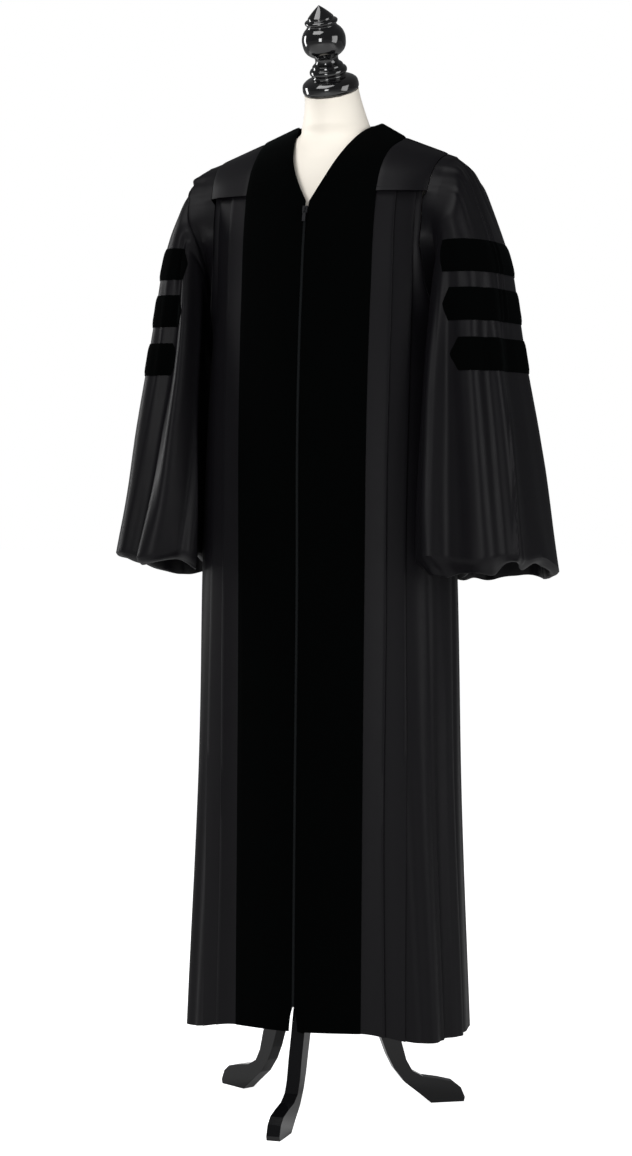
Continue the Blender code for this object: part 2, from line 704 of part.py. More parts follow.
def sleeve_point(sleeve, degrees, level, lift=0.0):
    """Point of a sleeve at an angle from its outer line, at a level; None is the armhole."""
    _, side, back, square = sleeve
    seam = armhole_at(ring_to_armhole(degrees))
    if level is None:
        return np.array([side * (seam[0] + ARMHOLE_GAP), seam[1], seam[2]])
    table = np.array(SLEEVE)[::-1]
    outer = float(smooth(level, table[:, 0], table[:, 1 if side > 0 else 2]))
    inner, middle, deep, power, dip = [float(smooth(level, table[:, 0], table[:, k])) for k in range(3, 8)]
    fall = (SLEEVE[0][0] - level) / (SLEEVE[0][0] - SLEEVE[-1][0])
    grow = float(ease(fall / 0.6))
    middle += back * grow
    c, s = squared(math.radians(degrees), power + square * grow)
    swell = sleeve_fold(side, degrees, fall) + lift
    x = (outer + inner) / 2 + ((outer - inner) / 2 + swell) * c
    y = middle - (deep + swell) * s
    # Level outside, soft-edged where the ring dips under the armhole
    soft = 0.008
    under = seam[2] - dip
    z = level
    if level > under:
        z = under - soft * math.log(1.0 + math.exp(-(level - under) / soft))
    elif level > under - 0.2:
        z = level - soft * math.log(1.0 + math.exp((level - under) / soft))
    # The inner side lies against the gown's body, clear of it
    points = section(max(z, 0.13))[0]
    clear = ARMHOLE_GAP + BODY_CLEAR * float(ease((seam[2] - z) / 0.05))
    limit = float(np.interp(y, points[60:300, 1], points[60:300, 0])) + clear
    near = 0.010
    if x < limit + near:
        x = limit + near * math.exp((x - limit - near) / near)
    return np.array([side * x, y, z])


def gathers(column, level, degrees):
    """Small gathers of the sleeve head, every second column standing out."""
    if level is None or abs((degrees + 180) % 360 - 180) > 112:
        return 0.0
    fade = float(ease((level - 1.34) / 0.10))
    return GATHER_DEPTH * fade * (1 if column % 2 == 0 else -1)


def cuff_turn(side, degrees, turn):
    """How far inward and up a line of the turned-in hem lies at an angle."""
    share = 0.0
    for which, centre, width, height in CUFF_DROPS:
        if which in (0, side):
            share += height * float(bump(((degrees - centre + 180) % 360 - 180) / width))
    share = min(share, 1.0)
    return turn[0] + (turn[2] - turn[0]) * share, turn[1] + (turn[3] - turn[1]) * share


def sleeve_grid(sleeve):
    """Outer points of a sleeve: rows from the armhole to the turned-in cuff."""
    rows = []
    for level in (None,) + SLEEVE_ROWS:
        row = []
        for k in range(SLEEVE_COLS):
            degrees = 360.0 * k / SLEEVE_COLS
            p = sleeve_point(sleeve, degrees, level, gathers(k, level, degrees))
            if level is not None:
                drop = float(ease((1.0 - level) / 0.14))
                behind = float(ease(p[1] / 0.12))
                wave = CUFF_WAVE * math.cos(math.radians(degrees) * 6 + 0.8)
                p[2] += drop * (0.002 - 0.026 * behind + wave)
            row.append(p)
        rows.append(row)
    last = np.array(rows[-1])
    centre = last.mean(axis=0)
    for turn in CUFF_TURN:
        row = []
        for k, p in enumerate(last):
            inward, up = cuff_turn(sleeve[1], 360.0 * k / SLEEVE_COLS, turn)
            toward = (centre - p) * np.array([1.0, 1.0, 0.0])
            toward /= np.linalg.norm(toward)
            row.append(p + toward * inward + np.array([0, 0, up]))
        rows.append(row)
    return np.array(rows)


def build_sleeve(sleeve):
    """One bell sleeve with its three velvet bars laid on its own points."""
    grid = sleeve_grid(sleeve)
    normal = grid_normals(grid, closed=True)
    if normal[8, 0][0] * sleeve[1] < 0:
        normal = -normal
    wall("sleeve_" + sleeve[0], "cloth", grid, grid - normal * CLOTH, closed=True)
    for number, (upper, lower, reach) in enumerate(BARS):
        ids = [k % SLEEVE_COLS for k in range(-reach, reach + 1)]
        top = 1 + SLEEVE_ROWS.index(upper)
        low = 1 + SLEEVE_ROWS.index(lower)
        rows = np.array([grid[top, ids], grid[low, ids]])
        outward = np.array([normal[top, ids], normal[low, ids]])
        for end, beside in ((0, 1), (-1, -2)):
            tip = rows[:, end] + (rows[:, beside] - rows[:, end]) * (1 - BAR_TIP)
            middle = tip.mean(axis=0)
            rows[:, end] = middle + (tip - middle) * BAR_BLUNT + outward[:, end] * TIP_LIFT
        wall("bar_%s_%d" % (sleeve[0], number + 1), "velvet",
             rows + outward * (BAR_LIFT + VELVET), rows + outward * BAR_LIFT)


# Dress form, neck cap and stand

def lathe(name, kind, profile, cols, turn, origin):
    """A turned piece from (radius, height) pairs, set by a matrix and a point."""
    verts = []
    faces = []
    rings = []
    for radius, height in profile:
        ring_ids = []
        count = 1 if radius < 1e-6 else cols
        for k in range(count):
            a = 2 * math.pi * k / cols
            p = turn @ Vector((radius * math.cos(a), radius * math.sin(a), height))
            ring_ids.append(len(verts))
            verts.append(p + Vector(origin))
        rings.append(ring_ids)
    for low, high in zip(rings, rings[1:]):
        for k in range(cols):
            n = (k + 1) % cols
            if len(high) == 1:
                faces.append((low[k], low[n], high[0]))
            else:
                faces.append((low[k], low[n], high[n], high[k]))
    if len(rings[0]) > 1:
        faces.append(tuple(reversed(rings[0])))
    if len(rings[-1]) > 1:
        faces.append(tuple(rings[-1]))
    return add_object(name, kind, verts, faces, origin)


def build_form():
    """The limbless form: smooth level rings, then a neck that leans to its cut top."""
    rings = []
    for z, half, front, wide, back, power in FORM:
        ring = []
        for k in range(FORM_COLS):
            a = 2 * math.pi * k / FORM_COLS
            c, s = squared(a, power)
            reach = (wide - front) if s > 0 else (back - wide)
            ring.append((half * c, wide - reach * s, z))
        rings.append(ring)
    top = Vector(NECK_TOP)
    axis = Vector((0, -math.sin(LEAN), math.cos(LEAN)))
    across = Vector((0, math.cos(LEAN), math.sin(LEAN)))
    last = [Vector(p) for p in rings[-1]]
    for share in (0.5, 1.0):
        ring = []
        for k in range(FORM_COLS):
            a = 2 * math.pi * k / FORM_COLS
            end = top + Vector((1, 0, 0)) * NECK_RADIUS * math.cos(a) - across * NECK_RADIUS * math.sin(a)
            bow = end - axis * 0.018
            p = last[k] * (1 - share) ** 2 + bow * 2 * share * (1 - share) + end * share ** 2
            ring.append(tuple(p))
        rings.append(ring)
    verts = [p for ring in rings for p in ring]
    faces = []
    n = FORM_COLS
    for r in range(len(rings) - 1):
        for k in range(n):
            m = (k + 1) % n
            faces.append((r * n + k, r * n + m, (r + 1) * n + m, (r + 1) * n + k))
    faces.append(tuple(range(n)))
    faces.append(tuple(range((len(rings) - 1) * n, len(rings) * n)))
    return add_object("dress_form", "form", verts, faces, (0.0, 0.025, 0.780))


def build_legs():
    """Three flat sawn legs round the hub."""
    for number, turn in enumerate(LEG_TURNS):
        a = math.radians(turn)
        out = Vector((math.sin(a), -math.cos(a), 0))
        side = Vector((math.cos(a), math.sin(a), 0))
        verts = []
        for shift in (-LEG_THICK / 2, LEG_THICK / 2):
            for r, z in LEG:
                verts.append(out * r + side * shift + Vector((0, 0, z)))
        n = len(LEG)
        faces = [tuple(range(n)), tuple(reversed(range(n, 2 * n)))]
        for k in range(n):
            m = (k + 1) % n
            faces.append((k, m, n + m, n + k))
        leg = add_object("leg_%d" % (number + 1), "lacquer", verts, faces, out * 0.0285 + Vector((0, 0, 0.205)))
        leg.data.set_sharp_from_angle(angle=math.radians(40))


# Zip

def swept_strip(name, kind, outline, levels):
    """A strip along the centre front from an outline in (s, h)."""
    rows = []
    for z in levels:
        row = []
        for s, h in outline:
            p = place(1.0 if s >= 0 else -1.0, abs(s), h, z)
            row.append(p)
        rows.append(row)
    n = len(outline)
    verts = [p for row in rows for p in row]
    faces = []
    for r in range(len(rows) - 1):
        for k in range(n):
            m = (k + 1) % n
            faces.append((r * n + k, r * n + m, (r + 1) * n + m, (r + 1) * n + k))
    faces.append(tuple(range(n)))
    faces.append(tuple(range((len(rows) - 1) * n, len(rows) * n)))
    return add_object(name, kind, verts, faces)


def boxes_joined(name, kind, boxes, frame, origin):
    """One body from boxes that share faces or overlap, in a local frame."""
    parts = []
    for low, high in boxes:
        mesh = bpy.data.meshes.new(name)
        work = bmesh.new()
        bmesh.ops.create_cube(work, size=1.0)
        size = [high[k] - low[k] for k in range(3)]
        mid = [(high[k] + low[k]) / 2 for k in range(3)]
        bmesh.ops.scale(work, vec=size, verts=work.verts)
        bmesh.ops.translate(work, vec=mid, verts=work.verts)
        work.to_mesh(mesh)
        work.free()
        part = bpy.data.objects.new(name, mesh)
        bpy.context.scene.collection.objects.link(part)
        parts.append(part)
    base = parts[0]
    for part in parts[1:]:
        join = base.modifiers.new("join", "BOOLEAN")
        join.operation = "UNION"
        join.solver = "EXACT"
        join.object = part
        bpy.context.view_layer.objects.active = base
        bpy.ops.object.modifier_apply(modifier=join.name)
    base.data.transform(frame)
    base.location = origin
    base.data.materials.append(material(kind, name))
    for part in parts[1:]:
        bpy.data.objects.remove(part)
    made.append(base)
    return base


def build_zip():
    """Closed zip: tape with its coil behind the velvet edges, slider and hanging pull."""
    half = 0.011
    bead = 0.0015
    outline = [(-half, -0.0010), (half, -0.0010), (half, 0.0), (bead, 0.0), (bead, 0.0014),
               (-bead, 0.0014), (-bead, 0.0), (-half, 0.0)]
    swept_strip("zip_tape", "zip", outline, (SLIT_TOP, 0.33, 0.47, 0.61, 0.75, 0.88, 1.0, 1.1, 1.175, 1.205, 1.235, 1.275, 1.33, 1.38))
    low = np.array(place(1.0, 0.0, 0.0, SLIDER_Z - 0.02))
    high = np.array(place(1.0, 0.0, 0.0, SLIDER_Z))
    lean = math.atan2(high[1] - low[1], high[2] - low[2])
    frame = Matrix.Rotation(-lean, 4, "X")
    width, thick, tall = SLIDER_SIZE
    face = SLIDER_OFF + thick
    seat = Vector(place(1.0, 0.0, 0.0, SLIDER_Z))
    strap_low = face + STRAP_GAP
    strap_high = strap_low + STRAP
    slider = [
        ((-width / 2, -face, -tall / 2), (width / 2, -SLIDER_OFF, tall / 2)),
        ((-0.0008, -strap_high, -0.0040), (0.0008, -strap_low, 0.0040)),
        ((-0.0008, -strap_high, 0.0030), (0.0008, -face + 0.0004, 0.0040)),
        ((-0.0008, -strap_high, -0.0040), (0.0008, -face + 0.0004, -0.0034)),
    ]
    boxes_joined("zip_slider", "zip", slider, frame, seat)
    pivot = frame @ Vector((0, -(face + STRAP_GAP / 2), -HINGE_DROP))
    t = PULL_THICK / 2
    pull = [
        ((-PULL_HALF, -t, -0.0005), (PULL_HALF, t, 0.0005)),
        ((-PULL_HALF, -t, -0.0040), (-0.0013, t, 0.0002)),
        ((0.0013, -t, -0.0040), (PULL_HALF, t, 0.0002)),
        ((-PULL_HALF, -t, -PULL_LENGTH), (PULL_HALF, t, -0.0034)),
    ]
    boxes_joined("zip_pull", "zip", pull, frame, seat + pivot)


# Build everything

for old in list(bpy.data.objects):
    bpy.data.objects.remove(old)

armhole = armhole_curve()
for label, side in (("left", 1.0), ("right", -1.0)):
    build_front("front_" + label, side)
    two_faced("velvet_" + label, "velvet", velvet_grid(side), VELVET_LIFT, VELVET_LIFT + VELVET, side < 0)
    two_faced("yoke_" + label, "cloth", yoke_grid(side), SEAM_GAP, SEAM_GAP + CLOTH, side < 0)
build_back()
build_back_yoke()
build_collar()
for sleeve in SLEEVES:
    build_sleeve(sleeve)
build_zip()
build_form()
lean_turn = Matrix.Rotation(LEAN, 3, "X")
cap_seat = Vector(NECK_TOP) + lean_turn @ Vector((0, 0, SEAM_GAP))
lathe("neck_cap", "lacquer", CAP, CAP_COLS, lean_turn, cap_seat)
lathe("pole", "lacquer", ((POLE_RADIUS, 0.3063), (POLE_RADIUS, 0.7797)), 20, Matrix.Identity(3), (0, 0, 0))
lathe("hub", "lacquer", HUB, 24, Matrix.Identity(3), (0, 0, 0))
build_legs()

# Set the whole on the origin: floor at zero, outline centred
bpy.context.view_layer.update()
corners = np.array([obj.matrix_world @ v.co for obj in made for v in obj.data.vertices])
low = corners.min(axis=0)
high = corners.max(axis=0)
centre = Vector(((low[0] + high[0]) / 2, (low[1] + high[1]) / 2, low[2]))
for obj in made:
    obj.location = obj.location - centre
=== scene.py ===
"""Looks of the graduation gown: fine cloth on the solids' forms, zip, stand, light and camera.

Metres, in the row frame. The tables and base functions are the ones the solids are
worked out from, so every fine sheet lies on its solid; SHIFT carries the drawing's
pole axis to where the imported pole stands.
"""

import math

import bmesh
import bpy
import numpy as np
from mathutils import Matrix, Vector


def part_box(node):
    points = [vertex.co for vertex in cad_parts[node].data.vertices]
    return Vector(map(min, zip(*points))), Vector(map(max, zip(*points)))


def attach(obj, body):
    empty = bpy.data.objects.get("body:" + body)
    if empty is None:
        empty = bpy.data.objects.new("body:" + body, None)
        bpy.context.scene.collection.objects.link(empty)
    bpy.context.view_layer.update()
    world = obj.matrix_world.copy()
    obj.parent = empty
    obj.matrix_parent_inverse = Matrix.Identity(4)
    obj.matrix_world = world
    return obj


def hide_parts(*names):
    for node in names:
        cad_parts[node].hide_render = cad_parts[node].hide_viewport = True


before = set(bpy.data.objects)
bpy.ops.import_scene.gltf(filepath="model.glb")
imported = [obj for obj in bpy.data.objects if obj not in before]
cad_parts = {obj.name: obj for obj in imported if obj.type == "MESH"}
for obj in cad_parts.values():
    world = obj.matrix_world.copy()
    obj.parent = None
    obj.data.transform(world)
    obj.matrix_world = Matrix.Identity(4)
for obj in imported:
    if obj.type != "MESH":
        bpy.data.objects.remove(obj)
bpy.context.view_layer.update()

pole_low, pole_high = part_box("pole")
SHIFT = np.array([(pole_low[0] + pole_high[0]) / 2, (pole_low[1] + pole_high[1]) / 2, 0.0])

# Cloth walls and the gaps between pieces
CLOTH = 0.0012
VELVET = 0.0020
VELVET_LIFT = 0.0006
SEAM_GAP = 0.0003

# Level sections of the gown's body, half of each: the base line all panels lie on.
# z, half width, front y, y where widest, back y, squareness, keel at the centre front
BODY = (
    (0.120, 0.221, -0.101, 0.030, 0.196, 3.2, 0.017),
    (0.490, 0.208, -0.095, 0.028, 0.186, 3.0, 0.014),
    (0.800, 0.204, -0.090, 0.026, 0.174, 2.8, 0.010),
    (1.090, 0.194, -0.087, 0.030, 0.165, 2.6, 0.009),
    (1.250, 0.187, -0.076, 0.038, 0.162, 2.6, 0.007),
    (1.400, 0.196, -0.052, 0.050, 0.158, 2.6, 0.005),
    (1.440, 0.197, -0.037, 0.055, 0.152, 2.6, 0.003),
)

# Where the front and back panels end on each side: the side seam, then the armhole.
# z, y of the front panel's edge, y of the back panel's edge
EDGE = (
    (0.100, 0.055, 0.055),
    (1.120, 0.048, 0.048),
    (1.185, 0.042, 0.042),
    (1.205, 0.026, 0.062),
    (1.235, -0.006, 0.086),
    (1.270, -0.019, 0.100),
    (1.330, -0.026, 0.112),
    (1.385, -0.019, 0.117),
    (1.412, -0.013, 0.117),
    (1.440, 0.002, 0.112),
)

# Levels of the panels' rows above the hem
ROWS = (0.210, 0.330, 0.470, 0.610, 0.750, 0.880, 1.000, 1.100, 1.175,
        1.205, 1.235, 1.275, 1.330, 1.380)
FRONT_TOP = 1.412
BACK_TOP = 1.388
YOKE_SEAM = 1.409
BACK_SEAM = 1.385

# Front lines, x by height: velvet edge and the folded edges of the two knife pleats
LINE_Z = (0.12, 0.79, 1.10, 1.409)
VELVET_EDGE = (0.1015, 0.1020, 0.1035, 0.1055)
PLEAT_ONE = (0.1365, 0.1325, 0.1345, 0.1340)
PLEAT_TWO = (0.1680, 0.1620, 0.1620, 0.1620)
PLEAT_UNDER = 0.011
PLEAT_STEP = 0.0017
ZIP_HALF = 0.0026
SLIT_TOP = 0.178

# Soft folds of the front panel's side part.
# y at the hem, y at the waist, half width, height at the hem, level where it fades out
SIDE_FOLDS = (
    (-0.052, -0.050, 0.022, 0.0070, 1.02),
    (-0.014, -0.020, 0.018, -0.0080, 1.00),
    (0.018, 0.012, 0.018, 0.0065, 1.08),
)

# Flutes that hang from the gathers of the back yoke
FLUTES = 12
FLUTE_DEPTH_Z = (0.12, 0.60, 1.00, 1.25, 1.388)
FLUTE_DEPTH = (0.0150, 0.0120, 0.0085, 0.0050, 0.0022)
FLUTE_UNEVEN = (1.0, 0.8, 1.15, 0.9, 1.05, 0.85, 1.1, 0.95, 1.0, 0.8, 1.2, 0.9)

# Seam curves of the shoulder, wearer's left, from the front up to the shoulder ridge
NECKLINE = ((0.0026, -0.0560, 1.396), (0.0200, -0.0457, 1.428), (0.0345, -0.0270, 1.4600),
            (0.0450, 0.0040, 1.4880), (0.0540, 0.0400, 1.5100), (0.0680, 0.0850, 1.5265))
VELVET_UP = ((0.1055, -0.0446, 1.409), (0.1060, -0.0250, 1.445),
             (0.1085, 0.0120, 1.4780), (0.1170, 0.0600, 1.4995))
ARMHOLE_UP = ((0.1760, -0.0150, 1.409), (0.1785, 0.0000, 1.437),
              (0.1830, 0.0270, 1.4610), (0.1865, 0.0560, 1.4720))
# The same curves behind, from the shoulder ridge to the centre back
NECK_BACK = ((0.0680, 0.0850, 1.5265), (0.0530, 0.1180, 1.5300), (0.0280, 0.1370, 1.5310),
             (0.0, 0.1430, 1.5310))
COLLAR_BACK = ((0.1170, 0.0600, 1.4995), (0.0990, 0.1120, 1.4950), (0.0560, 0.1520, 1.4850),
               (0.0, 0.1690, 1.4800))

# Level rings of a sleeve from the head to the cuff, seen from above. The rings run level
# round the outside of the arm and dip below the armhole on the side of the body.
# level outside, outer x left, outer x right, inner x, centre y, half size fore and aft,
# squareness, dip below the armhole
SLEEVE = (
    (1.4735, 0.1970, 0.2000, 0.1850, 0.047, 0.078, 2.1, 0.001),
    (1.4600, 0.2110, 0.2150, 0.1860, 0.048, 0.084, 2.1, 0.003),
    (1.4300, 0.2292, 0.2180, 0.1860, 0.049, 0.091, 2.1, 0.005),
    (1.3900, 0.2468, 0.2345, 0.1850, 0.050, 0.096, 2.2, 0.008),
    (1.3500, 0.2625, 0.2542, 0.1840, 0.051, 0.099, 2.3, 0.012),
    (1.3000, 0.2785, 0.2684, 0.1800, 0.051, 0.103, 2.4, 0.018),
    (1.2300, 0.2885, 0.2790, 0.1730, 0.051, 0.110, 2.5, 0.030),
    (1.1500, 0.2990, 0.2914, 0.1650, 0.051, 0.119, 2.5, 0.055),
    (1.0500, 0.3172, 0.3060, 0.1600, 0.050, 0.130, 2.6, 0.110),
    (0.9450, 0.3340, 0.3170, 0.1580, 0.048, 0.140, 2.8, 0.200),
    (0.8560, 0.3485, 0.3330, 0.1580, 0.046, 0.148, 2.8, 0.290),
)
# Angle round a ring (0 outer line, 90 front, 180 body) against angle round the armhole (0 up)
RING_TO_ARMHOLE = ((0, 0), (65, 48), (120, 86), (150, 127), (180, 180))
SLEEVE_COLS = 34
ARMHOLE_GAP = 0.0012
BODY_CLEAR = 0.0100
# How each sleeve differs: name, side, whole moved back, squareness added
SLEEVES = (
    ("left", 1.0, 0.000, 0.10),
    ("right", -1.0, 0.010, -0.15),
)
# Folds of the sleeves: side (+1 left, -1 right, 0 both), angle at the head, angle at the cuff,
# half width in degrees, height, start and full height as shares of the sleeve's fall
SLEEVE_FOLDS = (
    (1, 118.0, 112.0, 15.0, 0.0050, 0.30, 0.70),
    (1, 92.0, 94.0, 13.0, -0.0070, 0.20, 0.60),
    (1, 62.0, 74.0, 17.0, 0.0075, 0.15, 0.60),
    (1, 44.0, 54.0, 13.0, -0.0060, 0.20, 0.60),
    (1, 30.0, 38.0, 13.0, 0.0070, 0.15, 0.60),
    (1, 8.0, 18.0, 14.0, -0.0050, 0.20, 0.60),
    (-1, 124.0, 90.0, 17.0, 0.0110, 0.15, 0.60),
    (-1, 100.0, 70.0, 15.0, -0.0090, 0.20, 0.60),
    (-1, 60.0, 48.0, 17.0, 0.0075, 0.15, 0.60),
    (-1, 24.0, 24.0, 14.0, -0.0060, 0.20, 0.60),
    (-1, 146.0, 114.0, 13.0, -0.0060, 0.40, 0.80),
    (0, -14.0, -8.0, 17.0, 0.0060, 0.15, 0.60),
    (0, -38.0, -36.0, 15.0, -0.0060, 0.20, 0.60),
    (0, -66.0, -64.0, 17.0, 0.0070, 0.15, 0.60),
    (0, -92.0, -92.0, 15.0, -0.0060, 0.20, 0.60),
    (0, -120.0, -118.0, 17.0, 0.0060, 0.15, 0.60),
)
GATHER_DEPTH = 0.0016
CUFF_WAVE = 0.0040
# The turned-in hem below the cuff: inward and up where it lies high, then where it hangs out
CUFF_TURN = (
    (0.0045, -0.0045, 0.0050, -0.0070),
    (0.0110, -0.0050, 0.0190, -0.0220),
    (0.0165, 0.0010, 0.0330, -0.0370),
    (0.0180, 0.0300, 0.0450, -0.0240),
)
# Where it hangs out: side (+1 left, -1 right, 0 both), angle, half width in degrees, share
CUFF_DROPS = (
    (1, 114.0, 38.0, 1.00),
    (1, 68.0, 34.0, 0.72),
    (1, 18.0, 32.0, 0.35),
    (-1, 128.0, 40.0, 0.50),
    (-1, 72.0, 38.0, 0.40),
    (0, -60.0, 40.0, 0.35),
    (0, -126.0, 44.0, 0.50),
)

# Velvet bars: levels of the upper and lower edge, and the sleeve columns they reach to either
# side of the outer line: all are of one length, so lower ones reach less far round
BARS = ((1.3330, 1.2840, 11), (1.2605, 1.2110, 10), (1.1860, 1.1360, 9))
# Levels of a sleeve's rows, besides the armhole itself
SLEEVE_ROWS = (1.4735, 1.4550, 1.4200, 1.3750, 1.3330, 1.2840, 1.2605, 1.2110, 1.1860, 1.1360,
               1.0600, 0.9850, 0.9150, 0.8560)

# Dress form: z, half width, front y, y where widest, back y, squareness
FORM = (
    (0.780, 0.105, -0.030, 0.020, 0.070, 2.0),
    (0.788, 0.128, -0.050, 0.022, 0.095, 2.1),
    (0.820, 0.147, -0.065, 0.024, 0.116, 2.2),
    (0.920, 0.156, -0.069, 0.025, 0.126, 2.2),
    (1.060, 0.128, -0.062, 0.028, 0.108, 2.1),
    (1.180, 0.142, -0.064, 0.034, 0.124, 2.2),
    (1.300, 0.160, -0.056, 0.042, 0.136, 2.3),
    (1.380, 0.166, -0.042, 0.048, 0.138, 2.4),
    (1.425, 0.172, -0.030, 0.053, 0.134, 2.4),
    (1.450, 0.173, -0.019, 0.056, 0.130, 2.3),
    (1.466, 0.162, -0.009, 0.057, 0.124, 2.1),
    (1.480, 0.141, 0.001, 0.061, 0.122, 1.9),
    (1.494, 0.094, 0.008, 0.068, 0.128, 1.9),
    (1.508, 0.060, 0.013, 0.071, 0.128, 2.0),
    (1.522, 0.053, 0.011, 0.067, 0.122, 2.0),
)
NECK_TOP = (0.0, 0.045, 1.5755)
NECK_RADIUS = 0.0425
LEAN = math.radians(24.0)

# Turned neck cap: radius and height along its leaning axis
CAP = (
    (0.0405, 0.0000), (0.0430, 0.0023), (0.0438, 0.0094), (0.0425, 0.0148), (0.0385, 0.0187),
    (0.0325, 0.0218), (0.0270, 0.0242), (0.0262, 0.0265), (0.0285, 0.0292), (0.0292, 0.0335),
    (0.0272, 0.0370), (0.0245, 0.0387), (0.0238, 0.0417), (0.0215, 0.0440), (0.0190, 0.0460),
    (0.0180, 0.0499), (0.0185, 0.0541), (0.0245, 0.0585), (0.0295, 0.0632), (0.0323, 0.0686),
    (0.0337, 0.0764), (0.0338, 0.0842), (0.0318, 0.0913), (0.0285, 0.0967), (0.0240, 0.1014),
    (0.0225, 0.1045), (0.0250, 0.1072), (0.0257, 0.1100), (0.0235, 0.1123), (0.0195, 0.1139),
    (0.0200, 0.1158), (0.0185, 0.1179), (0.0165, 0.1201), (0.0085, 0.1279), (0.0000, 0.1350),
)


# Base functions, as in the part's source

def smooth(x, xs, ys):
    """Value at x of a smooth line through the points (xs, ys)."""
    xs = np.asarray(xs, float)
    ys = np.asarray(ys, float)
    slope = np.gradient(ys, xs, axis=0)
    x = np.clip(x, xs[0], xs[-1])
    k = np.clip(np.searchsorted(xs, x, side="right") - 1, 0, len(xs) - 2)
    step = xs[k + 1] - xs[k]
    t = (x - xs[k]) / step
    a = (1 + 2 * t) * (1 - t) ** 2
    b = t * (1 - t) ** 2
    c = t * t * (3 - 2 * t)
    d = t * t * (t - 1)
    return a * ys[k] + b * step * slope[k] + c * ys[k + 1] + d * step * slope[k + 1]


def along(points, t):
    """Point at share t of a smooth curve through the points, by length."""
    points = np.asarray(points, float)
    length = np.concatenate([[0], np.cumsum(np.linalg.norm(np.diff(points, axis=0), axis=1))])
    return np.array([smooth(t * length[-1], length, points[:, axis]) for axis in range(3)])


def bump(x):
    """One soft rise: 1 at 0, 0 at -1 and +1."""
    return np.where(np.abs(x) < 1.0, np.cos(np.clip(x, -1, 1) * math.pi / 2) ** 2, 0.0)


def ease(x):
    """0 below 0, 1 above 1, soft between."""
    x = np.clip(x, 0.0, 1.0)
    return x * x * (3 - 2 * x)


def grid_normals(grid, closed=False):
    """Unit normals of a grid of points, pointing away from columns crossed with rows."""
    if closed:
        across = np.roll(grid, -1, axis=1) - np.roll(grid, 1, axis=1)
    else:
        across = np.gradient(grid, axis=1)
    down = np.gradient(grid, axis=0)
    normal = np.cross(across, down)
    return normal / np.linalg.norm(normal, axis=2, keepdims=True)


sections = {}


def section(z):
    """Half a level section from centre front to centre back: points, normals, length."""
    key = round(z, 6)
    if key in sections:
        return sections[key]
    table = np.array(BODY)
    half, front, wide, back, power, keel = [smooth(z, table[:, 0], table[:, k]) for k in range(1, 7)]
    turn = np.linspace(0, math.pi, 361)
    s = np.sin(turn)
    c = np.cos(turn)
    x = half * np.abs(s) ** (2 / power)
    ahead = wide - (wide - front) * np.abs(c) ** (2 / power)
    behind = wide + (back - wide) * np.abs(c) ** (2 / 2.3)
    y = np.where(c >= 0, ahead, behind)
    y = y - np.where(c >= 0, keel * bump(x / 0.13), 0.0)
    points = np.stack([x, y], axis=1)
    length = np.concatenate([[0], np.cumsum(np.linalg.norm(np.diff(points, axis=0), axis=1))])
    tangent = np.gradient(points, axis=0)
    tangent[0] = (1, 0)
    tangent[-1] = (-1, 0)
    tangent /= np.linalg.norm(tangent, axis=1, keepdims=True)
    normal = np.stack([tangent[:, 1], -tangent[:, 0]], axis=1)
    sections[key] = (points, normal, length)
    return sections[key]


def place(side, s, h, z):
    """Point at length s from the centre front, h out from the base line, at level z."""
    points, normal, length = section(z)
    p = [np.interp(s, length, points[:, k]) + h * np.interp(s, length, normal[:, k]) for k in (0, 1)]
    return (side * p[0], p[1], z)


def length_at_x(z, x):
    """Length from the centre front where the front half of the section reaches x."""
    points, _, length = section(z)
    n = int(np.argmax(points[:, 0]))
    return float(np.interp(x, points[:n, 0], length[:n]))


def length_at_y(z, y):
    """Length from the centre front where the side of the section reaches y."""
    points, _, length = section(z)
    start = int(np.argmax(points[:, 0] > 0.10))
    stop = len(points) - 1 - int(np.argmax(points[::-1, 0] > 0.10))
    return float(np.interp(y, points[start:stop, 1], length[start:stop]))


def line_at(z, values):
    """Length of a front line given as x by height."""
    return length_at_x(z, float(smooth(z, LINE_Z, values)))


def hem_level(s):
    """Height of the hem at length s: a little higher at the centre front."""
    return 0.1250 + 0.0155 * (1 - ease((s - 0.10) / 0.11))


def offset_path(path, distance):
    """A path in the (s, h) plane moved to one side by a distance, with square corners."""
    path = np.asarray(path, float)
    step = np.diff(path, axis=0)
    step /= np.linalg.norm(step, axis=1, keepdims=True)
    side = np.stack([-step[:, 1], step[:, 0]], axis=1)
    first = np.vstack([side[:1], side])
    last = np.vstack([side, side[-1:]])
    middle = first + last
    middle /= np.maximum(np.sum(middle * first, axis=1, keepdims=True), 0.35)
    return path + distance * middle


def side_fold(s, z):
    """Height of the soft folds on the side part of a front panel."""
    total = 0.0
    for y_hem, y_waist, width, height, top in SIDE_FOLDS:
        share = ease((top - z) / (top - 0.12))
        centre = length_at_y(z, y_waist + (y_hem - y_waist) * share)
        total += height * share * float(bump((s - centre) / width))
    return total


def seam_curve(points, side, t):
    """Point of a named seam curve on the wearer's left or right."""
    p = along(points, t)
    return np.array([side * p[0], p[1], p[2]])


def back_yoke_column(c, v):
    """Point of the back yoke: c from the centre back (0) to the armhole (1), v down."""
    side = 1.0 if c >= 0 else -1.0
    c = abs(c)
    if c < 0.62:
        top = along(COLLAR_BACK, 1 - c / 0.62)
    else:
        share = (c - 0.62) / 0.38
        top = np.array(COLLAR_BACK[0]) * (1 - share) + np.array(ARMHOLE_UP[-1]) * share
    total = section(BACK_SEAM)[2][-1]
    edge = total - length_at_y(BACK_SEAM, 0.117)
    low = np.array(place(1.0, total - c * edge, 0.0, BACK_SEAM))
    bend = np.array([(top[0] + low[0]) / 2, max(low[1] + 0.004, top[1]), top[2] - 0.15 * (top[2] - low[2])])
    p = (1 - v) ** 2 * top + 2 * v * (1 - v) * bend + v * v * low
    return np.array([side * p[0], p[1], p[2]])


